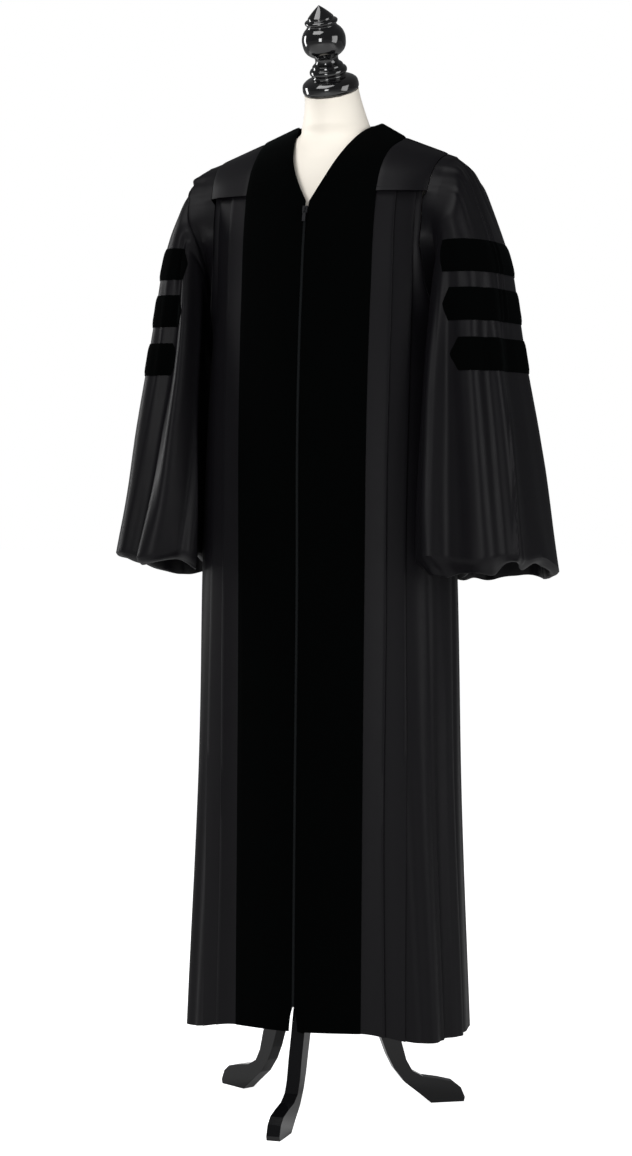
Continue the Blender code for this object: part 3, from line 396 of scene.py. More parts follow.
def armhole_curve():
    """Closed seam line of the armhole on the wearer's left, as angle and point."""
    points = []
    for t in np.linspace(0, 1, 9)[::-1]:
        points.append(along(ARMHOLE_UP, t))
    edge = np.array(EDGE)
    for z in np.linspace(1.40, 1.186, 26):
        y = float(np.interp(z, edge[:, 0], edge[:, 1]))
        points.append(np.array(place(1.0, length_at_y(z, y), 0.0, z)))
    for z in np.linspace(1.186, 1.380, 26):
        y = float(np.interp(z, edge[:, 0], edge[:, 2]))
        points.append(np.array(place(1.0, length_at_y(z, y), 0.0, z)))
    for v in np.linspace(1, 0, 9)[:-1]:
        points.append(back_yoke_column(1.0, v))
    points = np.array(points)
    angle = np.degrees(np.arctan2(-(points[:, 1] - 0.046), points[:, 2] - 1.337)) % 360
    angle[0] = angle[0] if angle[0] < 180 else angle[0] - 360
    order = np.argsort(angle)
    return angle[order], points[order]


# Fine sheets: how many points each gets, and the small creases added to the solids' folds

FRONT_ROWS = 90
BACK_ROWS = 90
SLEEVE_FINE_COLS = 272
SLEEVE_FINE_ROWS = 120

# Extra creases of the sleeves: side, angle at head, angle at cuff, half width, height,
# start and full height as shares of the fall, and for some the share where it has faded out
FINE_FOLDS = (
    (1, 119.0, 116.0, 10.0, 0.0032, 0.20, 0.55),
    (1, 96.0, 96.0, 13.0, -0.0030, 0.06, 0.45),
    (1, 44.0, 54.0, 13.0, 0.0026, 0.20, 0.60),
    (1, 6.6, 41.0, 3.0, 0.0034, 0.55, 0.72),
    (1, 0.2, 34.6, 4.5, -0.0026, 0.55, 0.72),
    (1, 18.0, 16.0, 3.0, 0.0024, 0.03, 0.10, 0.50),
    (1, 8.0, 7.0, 3.0, 0.0022, 0.03, 0.10, 0.50),
    (-1, 124.0, 91.0, 13.0, 0.0045, 0.10, 0.35),
    (-1, 109.0, 76.0, 11.0, -0.0045, 0.08, 0.30),
    (-1, 138.0, 120.0, 9.0, 0.0016, 0.45, 0.80),
    (-1, 60.0, 40.0, 7.0, 0.0020, 0.35, 0.75),
    (-1, 32.0, 22.0, 7.0, -0.0020, 0.40, 0.80),
    (0, -24.0, -22.0, 7.0, 0.0018, 0.40, 0.80),
    (0, -52.0, -50.0, 8.0, -0.0018, 0.50, 0.90),
    (0, -80.0, -78.0, 7.0, 0.0020, 0.40, 0.80),
    (0, -108.0, -104.0, 8.0, -0.0020, 0.45, 0.85),
    (0, -140.0, -136.0, 9.0, 0.0020, 0.45, 0.85),
)
# Where a crease leans over its neighbour: side, angle at head, angle at cuff, half width, lean
LEANS = (
    (-1, 124.0, 91.0, 17.0, 0.0065),
    (1, 119.0, 114.0, 14.0, 0.0040),
)
# How far short of the solid bars' last column the fine ones end, in degrees, by side
BAR_SHORT = {1.0: 3.7, -1.0: -1.0}
# Long soft hang lines of the front panels' side part: y, half width, height, top, bottom
HANG_LINES = (
    (-0.072, 0.010, 0.0012, 1.25, 0.30),
    (-0.034, 0.009, -0.0016, 0.95, 0.12),
    (0.002, 0.010, 0.0018, 0.80, 0.12),
    (0.034, 0.012, -0.0024, 1.00, 0.12),
)


def mesh_object(name, verts, faces, smooth_faces=True):
    """A mesh piece in the row frame."""
    mesh = bpy.data.meshes.new(name)
    mesh.from_pydata([tuple(v) for v in verts], [], faces)
    mesh.validate()
    if smooth_faces:
        mesh.shade_smooth()
    obj = bpy.data.objects.new(name, mesh)
    bpy.context.scene.collection.objects.link(obj)
    return obj


def shell(name, outer, inner, closed=False):
    """A thin sheet with both faces and its edges, from two grids of points."""
    rows, cols = outer.shape[:2]
    count = rows * cols
    verts = np.concatenate([outer.reshape(-1, 3), inner.reshape(-1, 3)]) + SHIFT
    faces = []
    spans = cols if closed else cols - 1
    for r in range(rows - 1):
        for c in range(spans):
            d = (c + 1) % cols
            quad = (r * cols + c, r * cols + d, (r + 1) * cols + d, (r + 1) * cols + c)
            faces.append(quad)
            faces.append(tuple(count + i for i in reversed(quad)))
    for r in (0, rows - 1):
        for c in range(spans):
            d = (c + 1) % cols
            faces.append((r * cols + d, r * cols + c, count + r * cols + c, count + r * cols + d))
    if not closed:
        for c in (0, cols - 1):
            for r in range(rows - 1):
                a = r * cols + c
                faces.append((a, a + cols, count + a + cols, count + a))
    obj = mesh_object(name, verts, faces)
    work = bmesh.new()
    work.from_mesh(obj.data)
    bmesh.ops.recalc_face_normals(work, faces=work.faces)
    work.to_mesh(obj.data)
    work.free()
    obj.data.set_sharp_from_angle(angle=math.radians(50))
    return obj


def spread(values, count):
    """More levels between the given ones, evenly along the whole."""
    return np.interp(np.linspace(0, len(values) - 1, count), np.arange(len(values)), values)


def hang_line(s, z):
    """Height of the long soft hang lines at length s and level z."""
    total = 0.0
    for y, width, height, top, bottom in HANG_LINES:
        share = float(ease((top - z) / 0.25))
        if share > 0:
            total += height * share * float(bump((s - length_at_y(z, y)) / width))
    return total


def edge_at(z, column):
    """Length from the centre front to a panel's side edge."""
    table = np.array(EDGE)
    return length_at_y(z, float(np.interp(z, table[:, 0], table[:, column])))


def fine_front_path(z):
    """Middle line of a front panel: pleats with rounded folds, then the soft side part."""
    start = line_at(z, VELVET_EDGE) - 0.004
    step = PLEAT_STEP
    radius = step / 2
    depth = -CLOTH / 2
    path = []
    spring = 0.0016 * float(ease((0.95 - z) / 0.4))
    begin = start
    for number, values in enumerate((PLEAT_ONE, PLEAT_TWO)):
        fold = line_at(z, values)
        sway = 0.0012 * math.sin(z * 9.0 + number * 2.0 + 1.0) * float(ease((1.3 - z) / 0.5))
        fold += sway
        for k in range(9):
            share = k / 8
            s = begin + (fold - radius - begin) * share
            path.append((s, depth + spring * share * share - 0.0006 * math.sin(share * math.pi)))
        for k in range(1, 6):
            a = math.pi / 2 - math.pi * k / 6
            high = depth + spring * (1 - k / 6)
            path.append((fold - radius + radius * math.cos(a), high - radius + radius * math.sin(a)))
        path.append((fold - radius, depth - step))
        path.append((fold - PLEAT_UNDER + radius, depth - step))
        for k in range(1, 6):
            a = math.pi / 2 + math.pi * k / 6
            path.append((fold - PLEAT_UNDER + radius + radius * math.cos(a),
                         depth - step - radius + radius * math.sin(a)))
        depth -= 2 * step
        begin = fold - PLEAT_UNDER + radius
    end = edge_at(z, 1) + SEAM_GAP
    for k in range(0, 49):
        share = k / 48
        s = begin + (end - begin) * share
        rise = 4 * step * float(ease((share - 0.25) / 0.75))
        path.append((s, depth + rise + side_fold(s, z) + hang_line(s, z)))
    return path


def build_front(name, side):
    """One pleated front panel."""
    outer = []
    inner = []
    for z in spread((0.125,) + ROWS + (FRONT_TOP,), FRONT_ROWS):
        path = fine_front_path(z)
        rows = []
        for distance in (CLOTH / 2, -CLOTH / 2):
            line = offset_path(path, distance * 0.8)
            row = []
            for (s, h), (mid, _) in zip(line, path):
                level = z + (hem_level(mid) - 0.125) * float(ease((0.21 - z) / 0.085))
                row.append(place(side, s, h, level))
            rows.append(row)
        outer.append(rows[0])
        inner.append(rows[1])
    return shell(name, np.array(outer), np.array(inner))


def fine_back_path(z):
    """Middle line of half the back: rounded flutes that narrow to gathers at the yoke."""
    total = section(z)[2][-1]
    end = total - edge_at(z, 2) + SEAM_GAP
    depth = float(smooth(z, FLUTE_DEPTH_Z, FLUTE_DEPTH))
    half = FLUTES // 2
    steps = half * 16 + 16
    near = float(ease((z - 1.25) / 0.13))
    path = []
    for k in range(steps + 1):
        share = k / steps
        if k <= half * 16:
            flute = min(k // 16, half - 1)
            turn = k * math.pi / 8
            wave = -depth * FLUTE_UNEVEN[flute] * (1 - math.cos(turn)) / 2
            wave -= near * 0.0012 * (1 - math.cos(turn * 3)) / 2
        else:
            wave = -0.0015 * math.sin((k - half * 16) / 16 * math.pi) * float(ease((1.1 - z) / 0.3))
        path.append((end * share, wave - CLOTH / 2 - 0.0028 * float(ease((z - 1.33) / 0.05))))
    return path


def build_back():
    """The fluted back panel."""
    outer = []
    inner = []
    for z in spread((0.125,) + ROWS[:-1] + (BACK_TOP,), BACK_ROWS):
        total = section(z)[2][-1]
        half = fine_back_path(z)
        path = [(-t, h) for t, h in reversed(half[1:])] + half
        rows = []
        for distance in (CLOTH / 2, -CLOTH / 2):
            line = offset_path(path, distance * 0.8)
            rows.append([place(1.0 if t >= 0 else -1.0, total - abs(t), h, z) for t, h in line])
        outer.append(rows[0])
        inner.append(rows[1])
    return shell("fine_back", np.array(outer), np.array(inner))


def up_between(side, bottom, first, second, count):
    """Rows from a bottom line up between two seam curves."""
    share = np.linspace(0, 1, len(bottom))[:, None]
    line = bottom[0] + (bottom[-1] - bottom[0]) * share
    rows = []
    for v in np.linspace(0, 1, count):
        a = seam_curve(first, side, v)
        b = seam_curve(second, side, v)
        rows.append(a + (b - a) * share + (bottom - line) * (1 - v))
    return rows


def velvet_grid(side):
    """Base points of a velvet front, from the hem to the shoulder ridge."""
    cols = 24
    rows = []
    for z in spread((0.125, SLIT_TOP) + ROWS, 100):
        edge = line_at(z, VELVET_EDGE)
        open_slit = 0.0042 * float(ease((SLIT_TOP - z) / 0.055))
        row = []
        for k in range(cols):
            share = k / (cols - 1)
            s = ZIP_HALF + open_slit + (edge - ZIP_HALF - open_slit) * share
            level = z + (hem_level(s) - 0.125) * float(ease((0.21 - z) / 0.085))
            row.append(place(side, s, 0.0, level))
        rows.append(row)
    bottom = []
    for k in range(cols):
        share = k / (cols - 1)
        z = 1.396 + (YOKE_SEAM - 1.396) * share
        edge = line_at(z, VELVET_EDGE)
        bottom.append(place(side, ZIP_HALF + (edge - ZIP_HALF) * share, 0.0, z))
    return np.array(rows + up_between(side, np.array(bottom), NECKLINE, VELVET_UP, 26))


def two_faced(name, grid, low, high, flip):
    """A sheet between two heights over a base grid, its edges rolled in a little."""
    normal = grid_normals(grid) * (-1 if flip else 1)
    rows, cols = grid.shape[:2]
    roll = np.ones((rows, cols, 1))
    for k, share in ((0, 0.35), (1, 0.8)):
        roll[:, k] = share
        roll[:, -1 - k] = share
    return shell(name, grid + normal * (low + (high - low) * roll), grid + normal * low)


def yoke_grid(side):
    """Base points of a front yoke."""
    cols = 24
    start = line_at(YOKE_SEAM, VELVET_EDGE)
    end = length_at_x(YOKE_SEAM, ARMHOLE_UP[0][0])
    bottom = np.array([place(side, start + (end - start) * k / (cols - 1), 0.0, YOKE_SEAM)
                       for k in range(cols)])
    return np.array(up_between(side, bottom, VELVET_UP, ARMHOLE_UP, 24))


def build_back_yoke():
    """The back yoke in one piece."""
    grid = []
    for v in np.linspace(0, 1, 24):
        grid.append([back_yoke_column(c, v) for c in np.linspace(-1, 1, 97)])
    return two_faced("fine_yoke_back", np.array(grid), SEAM_GAP, SEAM_GAP + CLOTH, True)


def build_collar():
    """Velvet band round the back of the neck."""
    rows = []
    for v in np.linspace(0, 1, 14):
        row = []
        for c in np.linspace(-1, 1, 65):
            side = 1.0 if c >= 0 else -1.0
            a = seam_curve(NECK_BACK, side, 1 - abs(c))
            b = seam_curve(COLLAR_BACK, side, 1 - abs(c))
            row.append(a + (b - a) * v)
        rows.append(row)
    return two_faced("fine_collar_back", np.array(rows), SEAM_GAP, SEAM_GAP + VELVET, True)


def armhole_at(theta):
    """Points of the armhole at angles in degrees, 0 up, 90 to the front."""
    angle, points = armhole
    return np.stack([np.interp(theta % 360, angle, points[:, k], period=360) for k in range(3)], axis=1)


def fall_at(level):
    """Share of the sleeve's fall at a level: 0 at the head, 1 at the cuff."""
    return (SLEEVE[0][0] - level) / (SLEEVE[0][0] - SLEEVE[-1][0])


def apart_from(degrees, head, cuff, fall):
    """Angles from a crease that runs from one angle at the head to another at the cuff."""
    return (degrees - head - (cuff - head) * fall + 180) % 360 - 180


def squared(value, power):
    """A cosine or sine bent towards a squarer ring."""
    return np.sign(value) * np.abs(value) ** (2 / power)


def folds_at(table, side, degrees, fall):
    """Height of a table's sleeve creases at many angles, at a share of the fall."""
    total = np.zeros(len(degrees))
    for which, head, cuff, width, height, start, full, *gone in table:
        if which in (0, side):
            apart = apart_from(degrees, head, cuff, fall)
            share = float(ease((fall - start) / (full - start)))
            if gone:
                share *= float(ease((gone[0] - fall) / 0.12))
            total += height * share * bump(apart / width)
    return total


def sleeve_ring(sleeve, degrees, level, lift=0.0):
    """Points of a sleeve at many angles from its outer line, at one level; None is the armhole."""
    _, side, back, square = sleeve
    turn = (degrees + 180) % 360 - 180
    to_hole = np.array(RING_TO_ARMHOLE, float)
    seam = armhole_at(np.sign(turn) * smooth(np.abs(turn), to_hole[:, 0], to_hole[:, 1]))
    if level is None:
        return seam * np.array([side, 1, 1]) + np.array([side * ARMHOLE_GAP, 0, 0])
    table = np.array(SLEEVE)[::-1]
    outer = float(smooth(level, table[:, 0], table[:, 1 if side > 0 else 2]))
    inner, middle, deep, power, dip = [float(smooth(level, table[:, 0], table[:, k])) for k in range(3, 8)]
    fall = fall_at(level)
    grow = float(ease(fall / 0.6))
    middle += back * grow
    angle = np.radians(degrees)
    c = squared(np.cos(angle), power + square * grow)
    s = squared(np.sin(angle), power + square * grow)
    swell = folds_at(SLEEVE_FOLDS, side, degrees, fall) + lift
    x = (outer + inner) / 2 + ((outer - inner) / 2 + swell) * c
    y = middle - (deep + swell) * s
    for which, head, cuff, width, lean in LEANS:
        if which == side:
            apart = apart_from(degrees, head, cuff, fall)
            over = lean * float(ease((fall - 0.10) / 0.20)) * bump(apart / width)
            x = x + over * np.sin(angle)
            y = y + over * np.cos(angle)
    soft = 0.008
    under = seam[:, 2] - dip
    over = (level - under) / soft
    high = under - soft * np.log1p(np.exp(-np.clip(over, -50, 50)))
    low = level - soft * np.log1p(np.exp(np.clip(over, -50, 50)))
    z = np.where(over > 0, high, low)
    for k in range(len(z)):
        points = section(round(max(float(z[k]), 0.13), 3))[0]
        clear = ARMHOLE_GAP + BODY_CLEAR * float(ease((seam[k, 2] - z[k]) / 0.05))
        limit = float(np.interp(y[k], points[60:300, 1], points[60:300, 0])) + clear
        near = 0.010
        if x[k] < limit + near:
            x[k] = limit + near * math.exp((x[k] - limit - near) / near)
    return np.stack([side * x, y, z], axis=1)


def fine_gather(degrees, level):
    """Gathers of the sleeve head, uneven round the armhole, fading down the sleeve."""
    turn = (degrees + 180) % 360 - 180
    edge = ease((60 - np.abs(turn)) / 16)
    fade = ease((level - 1.34 - 0.02 * np.sin(turn * 0.09)) / 0.11)
    wave = np.cos(np.radians(turn) * 17) + 0.45 * np.cos(np.radians(turn) * 29 + 1.0)
    return GATHER_DEPTH * 1.15 * edge * fade * wave


def fine_sleeve_row(sleeve, degrees, level):
    """One fine ring of a sleeve at a level."""
    if level is None:
        return sleeve_ring(sleeve, degrees, None)
    fall = fall_at(level)
    angle = np.radians(degrees)
    lift = fine_gather(degrees, level) + folds_at(FINE_FOLDS, sleeve[1], degrees, fall)
    pucker = float(ease((0.93 - level) / 0.07))
    lift = lift + 0.0006 * pucker * np.cos(angle * 17 + 1.3 * np.sin(angle * 3))
    row = sleeve_ring(sleeve, degrees, level, lift)
    drop = float(ease((1.0 - level) / 0.14))
    behind = ease(row[:, 1] / 0.12)
    row[:, 2] += drop * (0.002 - 0.026 * behind + CUFF_WAVE * np.cos(angle * 6 + 0.8))
    return row


def build_sleeve(sleeve):
    """One fine bell sleeve with its turned-in hem, and its three velvet bars."""
    name, side = sleeve[0], sleeve[1]
    degrees = 360.0 * np.arange(SLEEVE_FINE_COLS) / SLEEVE_FINE_COLS
    angle = np.radians(degrees)
    levels = list(spread(SLEEVE_ROWS, SLEEVE_FINE_ROWS))
    first = fine_sleeve_row(sleeve, degrees, None)
    second = fine_sleeve_row(sleeve, degrees, levels[0])
    rows = [first, first * 0.66 + second * 0.34, first * 0.33 + second * 0.67]
    rows += [fine_sleeve_row(sleeve, degrees, level) for level in levels]
    last = rows[-1]
    centre = last.mean(axis=0)
    toward = (centre - last) * np.array([1.0, 1.0, 0.0])
    toward /= np.linalg.norm(toward, axis=1, keepdims=True)
    share = np.zeros(len(degrees))
    for which, middle, width, height in CUFF_DROPS:
        if which in (0, side):
            share += height * bump(apart_from(degrees, middle, middle, 0.0) / width)
    share = np.minimum(share, 1.0)
    turn = np.vstack([np.zeros(4), np.array(CUFF_TURN)])
    steps = 28
    for step in range(1, steps + 1):
        t = step / steps * (len(turn) - 1)
        high_in, high_up, out_in, out_up = smooth(t, np.arange(len(turn)), turn)
        crumple = math.sin(min(t / 3.0, 1.0) * math.pi / 2)
        fold = crumple * share * (0.0045 * np.cos(angle * 11 + 2.0 * np.sin(angle * 2))
                                  + 0.0020 * np.cos(angle * 19 + 1.7))
        inward = high_in + (out_in - high_in) * share + fold
        up = high_up + (out_up - high_up) * share + crumple * share * 0.0055 * np.cos(angle * 9 + 0.6)
        rows.append(last + toward * inward[:, None] + np.array([0.0, 0.0, 1.0]) * up[:, None])
    grid = np.array(rows)
    normal = grid_normals(grid, closed=True)
    if normal[60, 0][0] * side < 0:
        normal = -normal
    made = shell("fine_sleeve_" + name, grid, grid - normal * CLOTH * 0.8, closed=True)
    bars = []
    for number, values in enumerate(BARS):
        bars.append(build_bar("fine_bar_%s_%d" % (name, number + 1), sleeve, *values))
    return made, bars


def build_bar(name, sleeve, upper, lower, columns):
    """One velvet bar, pointed at its ends, with rolled edges."""
    rows = []
    count = 9
    cols = 121
    tip = 7.5
    for r in range(count):
        across = r / (count - 1)
        level = upper + (lower - upper) * across
        reach = columns * 360.0 / SLEEVE_COLS - BAR_SHORT[sleeve[1]] - tip * abs(2 * across - 1) ** 1.3
        degrees = reach - 2 * reach * np.arange(cols) / (cols - 1)
        lift = fine_gather(degrees, level) + folds_at(FINE_FOLDS, sleeve[1], degrees, fall_at(level))
        rows.append(sleeve_ring(sleeve, degrees, level, lift))
    grid = np.array(rows)
    normal = grid_normals(grid)
    if normal[count // 2, cols // 2][0] * sleeve[1] < 0:
        normal = -normal
    roll = np.ones((count, cols, 1))
    roll[0] = roll[-1] = 0.3
    roll[1] = roll[-2] = 0.85
    roll[:, 0] *= 0.3
    roll[:, -1] *= 0.3
    roll[:, 1] *= 0.85
    roll[:, -2] *= 0.85
    low = 0.0002
    return shell(name, grid + normal * (low + (VELVET + 0.0004) * roll), grid + normal * low)


def turned(name, points, rows, cols):
    """A closed surface through rings of points, with flat ends."""
    faces = []
    for r in range(rows - 1):
        for k in range(cols):
            n = (k + 1) % cols
            faces.append((r * cols + k, r * cols + n, (r + 1) * cols + n, (r + 1) * cols + k))
    faces.append(tuple(reversed(range(cols))))
    faces.append(tuple(range((rows - 1) * cols, rows * cols)))
    return mesh_object(name, points, faces)


def build_form():
    """The dress form: smooth rings through the solid's own, then the leaning neck."""
    table = np.array(FORM)
    cols = 120
    angle = np.linspace(0, 2 * math.pi, cols, endpoint=False)
    rings = []
    for z in spread(table[:, 0], 110):
        half, front, wide, back, power = [float(smooth(z, table[:, 0], table[:, k])) for k in range(1, 6)]
        c = squared(np.cos(angle), power)
        s = squared(np.sin(angle), power)
        reach = np.where(s > 0, wide - front, back - wide)
        rings.append(np.stack([half * c, wide - reach * s, np.full(cols, z)], axis=1))
    axis = np.array([0, -math.sin(LEAN), math.cos(LEAN)])
    across = np.array([0, math.cos(LEAN), math.sin(LEAN)])
    end = (np.array(NECK_TOP) + np.outer(np.cos(angle), [1, 0, 0]) * NECK_RADIUS
           - np.outer(np.sin(angle), across) * NECK_RADIUS)
    last = rings[-1]
    for share in np.linspace(0, 1, 15)[1:]:
        middle = (end - axis * 0.018) * 2 * share * (1 - share)
        rings.append(last * (1 - share) ** 2 + middle + end * share ** 2)
    grid = np.array(rings) + SHIFT
    obj = turned("fine_dress_form", grid.reshape(-1, 3), len(grid), cols)
    obj.data.set_sharp_from_angle(angle=math.radians(50))
    return obj


def lathe(name, profile, cols, turn, origin):
    """A turned piece from a smooth line through (radius, height) pairs."""
    fine = [along([(r, h, 0.0) for r, h in profile], t)[:2] for t in np.linspace(0, 1, 120)]
    verts = []
    for radius, height in fine:
        for k in range(cols):
            a = 2 * math.pi * k / cols
            wide = max(radius, 0.0001)
            p = turn @ Vector((wide * math.cos(a), wide * math.sin(a), height))
            verts.append(np.array(p + Vector(origin)) + SHIFT)
    return turned(name, verts, len(fine), cols)


def build_teeth():
    """The zip's coil: small teeth on both sides of the centre line, one joined mesh."""
    verts = []
    faces = []
    pitch = 0.0019
    z = SLIT_TOP + 0.002
    number = 0
    while z < 1.379:
        side = 1 if number % 2 == 0 else -1
        x0 = -0.0007 * side
        x1 = 0.0020 * side
        centre = np.array(place(1.0, 0.0, 0.0, z))
        base = len(verts)
        for dz in (-0.0006, 0.0006):
            for x in (x0, x1):
                for h in (0.0012, 0.0023):
                    verts.append(centre + np.array([x, -h, dz]) + SHIFT)
        for quad in ((0, 1, 3, 2), (4, 6, 7, 5), (0, 4, 5, 1), (2, 3, 7, 6), (0, 2, 6, 4), (1, 5, 7, 3)):
            faces.append(tuple(base + i for i in quad))
        z += pitch / 2
        number += 1
    return mesh_object("zip_teeth", verts, faces, smooth_faces=False)


def build_stitches(name, points, length, gap, lift):
    """A row of short raised stitches along a line of points."""
    points = np.asarray(points)
    run = np.concatenate([[0], np.cumsum(np.linalg.norm(np.diff(points, axis=0), axis=1))])
    verts = []
    faces = []
    at = gap
    while at + length < run[-1]:
        ends = [np.array([np.interp(t, run, points[:, k]) for k in range(3)]) for t in (at, at + length)]
        way = (ends[1] - ends[0]) / np.linalg.norm(ends[1] - ends[0])
        out = np.cross(way, np.array([0.0, 0.0, 1.0]))
        if np.linalg.norm(out) < 0.2:
            out = np.array([0.0, -1.0, 0.0])
        out /= np.linalg.norm(out)
        up = np.cross(out, way)
        base = len(verts)
        for end in ends:
            for a, b in ((-1, 0), (0, 1), (1, 0), (0, -1)):
                verts.append(end + up * a * 0.00022 + out * (lift + b * 0.00016) + SHIFT)
        for k in range(4):
            n = (k + 1) % 4
            faces.append((base + k, base + n, base + 4 + n, base + 4 + k))
        faces.append((base + 3, base + 2, base + 1, base))
        faces.append((base + 4, base + 5, base + 6, base + 7))
        at += length + gap
    return mesh_object(name, verts, faces)


# Materials, all procedural and fixed to the pieces

def new_material(name, colour, roughness):
    """A Principled material with plain values and its node tree."""
    mat = bpy.data.materials.new(name)
    mat.use_nodes = True
    shader = mat.node_tree.nodes["Principled BSDF"]
    shader.inputs["Base Color"].default_value = colour
    shader.inputs["Roughness"].default_value = roughness
    return mat, mat.node_tree, shader


def add_node(tree, kind, **values):
    """A shader node with its inputs set; an underscore stands for a space."""
    node = tree.nodes.new("ShaderNode" + kind)
    for name, value in values.items():
        node.inputs[name.replace("_", " ")].default_value = value
    return node


def add_bump(tree, shader, height, strength, distance):
    """Connects a height to the shader's normal."""
    node = add_node(tree, "Bump", Strength=strength, Distance=distance)
    tree.links.new(height, node.inputs["Height"])
    tree.links.new(node.outputs["Normal"], shader.inputs["Normal"])


def noise_on(tree, scale, detail=2.0):
    """Noise fixed to the piece."""
    place_in = add_node(tree, "TexCoord")
    noise = add_node(tree, "TexNoise", Scale=scale, Detail=detail)
    tree.links.new(place_in.outputs["Object"], noise.inputs["Vector"])
    return noise


def vary(tree, source, low, high, target):
    """Drives an input of the shader between two values."""
    node = add_node(tree, "MapRange", To_Min=low, To_Max=high)
    tree.links.new(source, node.inputs["Value"])
    tree.links.new(node.outputs["Result"], target)


def cloth_material():
    """Black gown cloth: fine diagonal twill, soft satin lustre, faint slub."""
    mat, tree, shader = new_material("gown_twill", CLOTH_COLOUR, 0.50)
    shader.inputs["Specular IOR Level"].default_value = 0.13
    slub = noise_on(tree, 28.0, 5.0)
    place_in = add_node(tree, "TexCoord")
    twill = add_node(tree, "TexWave", Scale=420.0, Distortion=0.6)
    twill.wave_type = "BANDS"
    twill.bands_direction = "DIAGONAL"
    tree.links.new(place_in.outputs["Object"], twill.inputs["Vector"])
    both = tree.nodes.new("ShaderNodeMath")
    both.operation = "MULTIPLY_ADD"
    both.inputs[1].default_value = 0.12
    tree.links.new(twill.outputs["Fac"], both.inputs[0])
    tree.links.new(slub.outputs["Fac"], both.inputs[2])
    add_bump(tree, shader, both.outputs[0], 0.25, 0.0006)
    vary(tree, slub.outputs["Fac"], 0.44, 0.54, shader.inputs["Roughness"])
    return mat


def velvet_material():
    """Deepest black pile with a faint cool sheen at the edges."""
    mat, tree, shader = new_material("black_velvet", VELVET_COLOUR, 0.95)
    shader.inputs["Specular IOR Level"].default_value = 0.02
    shader.inputs["Sheen Roughness"].default_value = 0.25
    shader.inputs["Sheen Tint"].default_value = (0.45, 0.62, 0.62, 1.0)
    add_bump(tree, shader, noise_on(tree, 900.0, 3.0).outputs["Fac"], 0.35, 0.0005)
    vary(tree, noise_on(tree, 14.0).outputs["Fac"], 0.008, 0.030, shader.inputs["Sheen Weight"])
    return mat


def form_material():
    """Smooth cream jersey of the dress form."""
    mat, tree, shader = new_material("cream_jersey", FORM_COLOUR, 0.62)
    shader.inputs["Sheen Weight"].default_value = 0.10
    add_bump(tree, shader, noise_on(tree, 1100.0).outputs["Fac"], 0.10, 0.0004)
    return mat


def lacquer_material(name, coat, shine):
    """Black lacquer over wood, with very faint waviness."""
    mat, tree, shader = new_material(name, LACQUER_COLOUR, 0.10)
    shader.inputs["Coat Weight"].default_value = coat
    shader.inputs["Specular IOR Level"].default_value = shine
    shader.inputs["Coat Roughness"].default_value = 0.05
    grain = noise_on(tree, 45.0, 4.0)
    stretch = add_node(tree, "Mapping", Scale=(1.0, 1.0, 0.15))
    tree.links.new(grain.inputs["Vector"].links[0].from_socket, stretch.inputs["Vector"])
    tree.links.new(stretch.outputs["Vector"], grain.inputs["Vector"])
    add_bump(tree, shader, grain.outputs["Fac"], 0.10, 0.0006)
    return mat


def plain_material(name, colour, roughness, metallic=0.0):
    """A small part's finish with fine grain."""
    mat, tree, shader = new_material(name, colour, roughness)
    shader.inputs["Metallic"].default_value = metallic
    shader.inputs["Specular IOR Level"].default_value = 0.5 if metallic else 0.08
    add_bump(tree, shader, noise_on(tree, 600.0).outputs["Fac"], 0.08, 0.0002)
    return mat


def dress(obj, mat):
    """Gives a piece one material."""
    obj.data.materials.clear()
    obj.data.materials.append(mat)


# Light: how bright the room and the floor are, and the softboxes: name, place, aim, size, power

AMBIENT = 0.12
FLOOR_SEEN = 0.91
FLOOR_GLOW = 0.10
LAMPS = (
    ("front", (0.1, -3.4, 1.5), (0.0, 0.0, 1.15), (0.8, 1.3), 42.0),
    ("left_rim", (-3.0, 0.3, 1.8), (0.0, 0.0, 1.1), (0.7, 2.0), 44.0),
    ("right_fill", (3.3, -0.6, 1.7), (0.0, 0.0, 1.0), (1.8, 2.4), 55.0),
    ("high", (-0.6, -1.2, 3.6), (0.0, 0.0, 1.1), (1.6, 1.6), 40.0),
)

# Build the pieces

CLOTH_COLOUR = (0.0033, 0.0030, 0.0040, 1.0)
VELVET_COLOUR = (0.0005, 0.0007, 0.0007, 1.0)
FORM_COLOUR = (0.94, 0.88, 0.78, 1.0)
LACQUER_COLOUR = (0.004, 0.004, 0.0045, 1.0)

gown_cloth = cloth_material()
gown_velvet = velvet_material()
cream = form_material()
lacquer = lacquer_material("black_lacquer", 0.6, 0.5)
stand_lacquer = lacquer_material("black_lacquer_stand", 0.0, 0.35)
zip_tape_black = plain_material("zip_tape_black", (0.003, 0.003, 0.0035, 1.0), 0.85)
zip_metal = plain_material("zip_enamel", (0.02, 0.02, 0.022, 1.0), 0.28, 0.6)

ROOT = "gown_and_form"
armhole = armhole_curve()


def finish_piece(obj, mat, slot_name, *nodes):
    """Material, body and the solid it stands for, which it hides; slot_name is not used."""
    dress(obj, mat)
    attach(obj, ROOT)
    if nodes:
        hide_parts(*nodes)
    return obj


